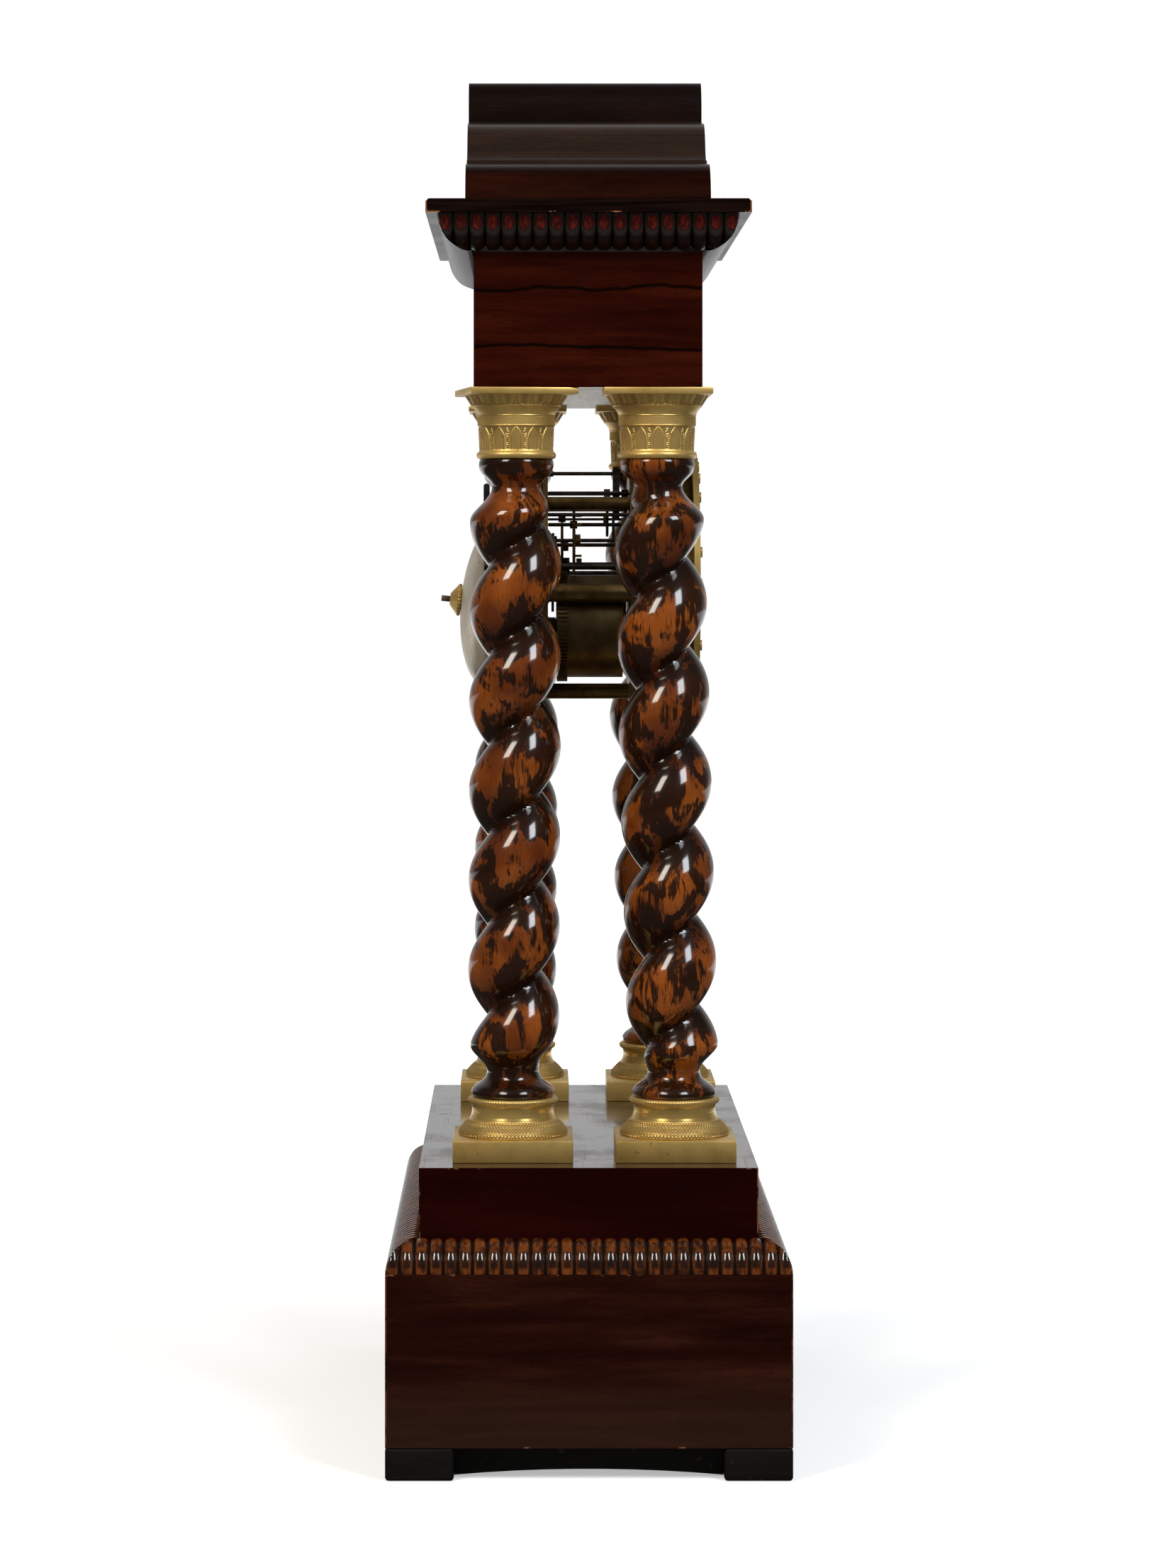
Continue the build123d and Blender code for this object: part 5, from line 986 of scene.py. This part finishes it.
# Dial
# A white enamelled copper dial with plain holes for the winding squares. Its black
# numerals and minute marks are fired on.
enamel = Finish("white enamel", (0.83, 0.82, 0.77), 0.12, coat=0.6, coat_roughness=0.04)
mottle = enamel.stretched(30, detail=4)
enamel.tint(enamel.between(mottle, 0.4, 0.7, (0.84, 0.83, 0.785), (0.79, 0.775, 0.72)))
dress(enamel, "dial")

dial_face = -0.0426
black_enamel = Finish("black enamel", (0.008, 0.008, 0.009), 0.25, coat=0.4)
enamel_wear = black_enamel.stretched(400, detail=3)
black_enamel.tint(black_enamel.mix(enamel_wear, (0.004, 0.004, 0.005), (0.018, 0.017, 0.018)))
numerals = ["XII", "I", "II", "III", "IIII", "V", "VI", "VII", "VIII", "IX", "X", "XI"]
letter_widths = {"I": 0.0021, "V": 0.0045, "X": 0.0046}
numeral_half = 0.0041
numeral_reach = 0.033
thick_stroke = 0.00115
thin_stroke = 0.0005
serif_stroke = 0.0004
serif_gap = 0.0003
letter_gaps = {"I": 0.0, "V": 0.0006, "X": 0.0007}
minute_reach = 0.0412
minute_half = 0.0009
minute_stroke = 0.00035
hour_stroke = 0.0009
enamel_proud = 0.0001


def dial_stroke(low, high, width, angle, reach):
    """A flat stroke of a numeral: from its foot to its head, turned to its place on the dial."""
    run = Vector(high) - Vector(low)
    middle = (Vector(low) + Vector(high)) / 2
    bpy.ops.object.select_all(action="DESELECT")
    bpy.ops.mesh.primitive_cube_add(size=1, scale=(width, enamel_proud, run.length))
    piece = bpy.context.object
    piece.rotation_euler = (0, atan2(run.x, run.y), 0)
    piece.location = (middle.x, 0, middle.y)
    bpy.ops.object.transform_apply()
    out, up = reach * sin(angle), reach * cos(angle)
    piece.location = (out, dial_face - enamel_proud / 2, movement_z + up)
    piece.rotation_euler = (0, angle, 0)
    bpy.ops.object.transform_apply()
    return piece


marks = []
for hour, numeral in enumerate(numerals):
    angle = 2 * pi * hour / 12
    left = -sum(letter_widths[letter] for letter in numeral) / 2
    for letter in numeral:
        right = left + letter_widths[letter]
        middle = (left + right) / 2
        start = left + letter_gaps[letter]
        end = right - letter_gaps[letter]
        strokes = {
            "I": [(middle, middle, thick_stroke)],
            "V": [(middle, start, thick_stroke), (middle, end, thin_stroke)],
            "X": [(end, start, thick_stroke), (start, end, thin_stroke)],
        }
        for foot, head, width in strokes[letter]:
            low, high = (foot, -numeral_half), (head, numeral_half)
            marks.append(dial_stroke(low, high, width, angle, numeral_reach))
        for level in (-numeral_half, numeral_half):
            low, high = (left + serif_gap, level), (right - serif_gap, level)
            marks.append(dial_stroke(low, high, serif_stroke, angle, numeral_reach))
        left = right
for minute in range(60):
    angle = 2 * pi * minute / 60
    width = hour_stroke if minute % 5 == 0 else minute_stroke
    marks.append(dial_stroke((0, -minute_half), (0, minute_half), width, angle, minute_reach))
finished(joined_up("dial_numerals", marks), black_enamel, "case", "enamel")

# Hands
# Blued steel hands, each with a pierced eye. The minute hand sits on the cannon pinion and
# the hour hand on the pipe of its wheel.
blued = Finish("blued steel", (0.01, 0.014, 0.045), 0.22, metallic=0.9)
blue_shift = blued.stretched(150, detail=3)
blued.tint(blued.mix(blue_shift, (0.006, 0.01, 0.04), (0.022, 0.02, 0.05)))
dress(blued, "minute_hand", "hour_hand")

# Bezel and glass
# A cast gilt ring hinged at three o'clock closes over the dial. Small bosses stand round
# it, and it holds a flat glass.
glass = Finish("clear glass", (0.95, 0.97, 0.96), 0.02)
glass.feed("Transmission Weight", 1.0)
glass.feed("IOR", 1.45)
dress(glass, "bezel_glass")
dress(gilt, "bezel")

# Pendulum
# A steel rod hangs by a spring from the back cock. The lens-shaped bob is brass over
# lead, polished in rings, and a nut below it sets the rate.
bob_brass = Finish("bob brass", (0.45, 0.33, 0.14), 0.25, metallic=1.0)
bob_z = 0.2242
rings = bob_brass.turning_marks(bob_brass.x.reach(bob_brass.z - bob_z), 1500)
bob_patch = bob_brass.stretched(60, detail=5)
bob_colour = bob_brass.mix(bob_patch, (0.5, 0.37, 0.16), (0.28, 0.19, 0.08))
bob_brass.tint(bob_colour, rings * 0.15 + bob_patch * 0.2 + 0.15)
dress(bob_brass, "pendulum_bob")

# Bell
# A shallow dish of bell metal on a steel stand, held by a knurled conical nut. It is
# grey-brown, with turning marks, darker streaks and small dark specks.
bell_metal = Finish("bell metal", (0.42, 0.37, 0.29), 0.38, metallic=0.6)
bell_patch = bell_metal.stretched(40, 40, 22, detail=6, rough=0.65)
bell_z = 0.3434
bell_rings = bell_metal.turning_marks(bell_metal.x.reach(bell_metal.z - bell_z), 1200)
bell_tones = ((0.56, 0.49, 0.385), (0.33, 0.275, 0.2))
bell_colour = bell_metal.between(bell_patch, 0.35, 0.7, *bell_tones)
bell_streak = bell_metal.rise(bell_metal.stretched(60, 130, 9, detail=4), 0.5, 0.66)
bell_colour = bell_metal.mix(bell_streak * 0.6, bell_colour, (0.2, 0.165, 0.12))
bell_speck = bell_metal.rise(bell_metal.stretched(420, detail=1), 0.72, 0.76)
bell_colour = bell_metal.mix(bell_speck * 0.8, bell_colour, (0.05, 0.035, 0.025))
bell_metal.tint(bell_colour, bell_patch * 0.3 + bell_rings * 0.1 + 0.2)
bell_metal.relief(bell_rings, 0.00002)
dress(bell_metal, "bell")
nut_profile = [
    (0.0, 0.0), (0.0, 0.0063), (0.0003, 0.0068), (0.001, 0.0069), (0.0013, 0.0067),
    (0.0047, 0.0025), (0.0048, 0.0),
]
nut_notches = 26
notch_depth = 0.00035
rim_low = 0.0001
rim_high = 0.0012


def nut_rim(angle, height):
    """How deep the nut's rim is notched for the fingers."""
    if rim_low < height < rim_high:
        return notch_depth * (1 - abs(cos(nut_notches / 2 * angle)))
    return 0.0


bell_crown = Vector((0, 0.05253, 0.34401))
bell_tilt = radians(5.5)
nut_rows = lathe_rows(nut_profile, 0.0003)
facets = 8 * nut_notches
nut = turned("bell_nut_knurled", facets, nut_rows, (0, 0), 0, nut_rim, notch_depth)
nut.data.transform(Matrix.Translation(bell_crown) @ Matrix.Rotation(bell_tilt - pi / 2, 4, "X"))
finished(nut, cut_brass, "case", "cast_brass", "bell_nut")

# Table, light and camera
# The clock stands on a white table in a white room, lit by two soft boxes in front of its
# left side and a little light from all round.
table_size = 12
table_drop = 0.0001
bpy.ops.object.select_all(action="DESELECT")
bpy.ops.mesh.primitive_plane_add(size=table_size, location=(0, 0, -table_drop))
table = bpy.context.object
table.name = "table"
cloth = Finish("white table", (0.86, 0.86, 0.86), 0.9, specular=0.1)
seen = cloth.shade("ShaderNodeLightPath", output="Is Camera Ray")
mirrored = cloth.shade("ShaderNodeLightPath", output="Is Glossy Ray")
through = cloth.shade("ShaderNodeLightPath", output="Is Transmission Ray")
away = cloth.rise(cloth.x.reach(cloth.y), 0.18, 0.75)
lift = cloth.mix(away, (0.45, 0.45, 0.45), (1.0, 1.0, 1.0))
distant = cloth.rise(cloth.x, 0.45, 1.2)
cloth.tint(cloth.mix(mirrored * (1 - distant), (0.86, 0.86, 0.86), (0.07, 0.065, 0.06)))
cloth.feed("Emission Color", cloth.mix(seen + through + mirrored * distant, (0.0, 0.0, 0.0), lift))
cloth.feed("Emission Strength", 1.0)
table.data.materials.append(cloth.material)


class Room(Finish):
    """The light of the white room, made of the same nodes as the finishes."""

    def __init__(self, name):
        self.world = bpy.data.worlds.new(name)
        self.world.use_nodes = True
        self.tree = self.world.node_tree
        self.surface = self.tree.nodes["Background"]


room = Room("white room")
bpy.context.scene.world = room.world
way_x = room.split(room.shade("ShaderNodeTexCoord", output="Generated"))[0]
limits = {0: way_x, 1: 0.35, 2: 0.97, 3: 0.06, 4: 0.57}
behind = room.shade("ShaderNodeMapRange", {"interpolation_type": "SMOOTHSTEP"}, limits)
mirrored = room.shade("ShaderNodeLightPath", output="Is Glossy Ray")
through = room.shade("ShaderNodeLightPath", output="Is Transmission Ray")
seen = room.shade("ShaderNodeLightPath", output="Is Camera Ray")
strength = room.choose(mirrored, 0.34, behind)
strength = room.choose(through, strength, 1.0)
room.feed("Strength", room.choose(seen, strength, 1.0))
room.feed("Color", (1.0, 1.0, 1.0, 1.0))

aim = Vector((0.0, 0.0, 0.28))
box_wide = 0.38
box_high = 0.66
box_x = -0.9
box_y = 0.66
box_z = 1.28
watts = 12.5
warm = (1.0, 0.92, 0.8)
cool = (0.9, 0.95, 1.0)
for name, y_sign, colour in (("left soft box", 1, warm), ("right soft box", -1, cool)):
    light = bpy.data.lights.new(name, "AREA")
    light.shape = "RECTANGLE"
    light.size = box_wide
    light.size_y = box_high
    light.energy = watts
    light.color = colour
    lamp = bpy.data.objects.new(name, light)
    bpy.context.scene.collection.objects.link(lamp)
    lamp.location = (box_x, y_sign * box_y, box_z)
    lamp.rotation_euler = (aim - lamp.location).to_track_quat("-Z", "Y").to_euler()

image_long = 2212
image_wide = 1659
focal_px = 6125
vanishing_x = 750
horizon_y = 797
sensor = 36.0
camera_place = (-1.85, 0.0225, 0.3589)
camera_data = bpy.data.cameras.new("camera")
camera_data.sensor_fit = "AUTO"
camera_data.sensor_width = sensor
camera_data.lens = focal_px / image_long * sensor
camera_data.shift_x = (image_wide / 2 - vanishing_x) / image_long
camera_data.shift_y = (horizon_y - image_long / 2) / image_long
camera = bpy.data.objects.new("camera", camera_data)
bpy.context.scene.collection.objects.link(camera)
camera.location = camera_place
camera.rotation_euler = (radians(90), 0, radians(-90))
bpy.context.scene.camera = camera
bpy.context.scene.view_settings.view_transform = "Standard"
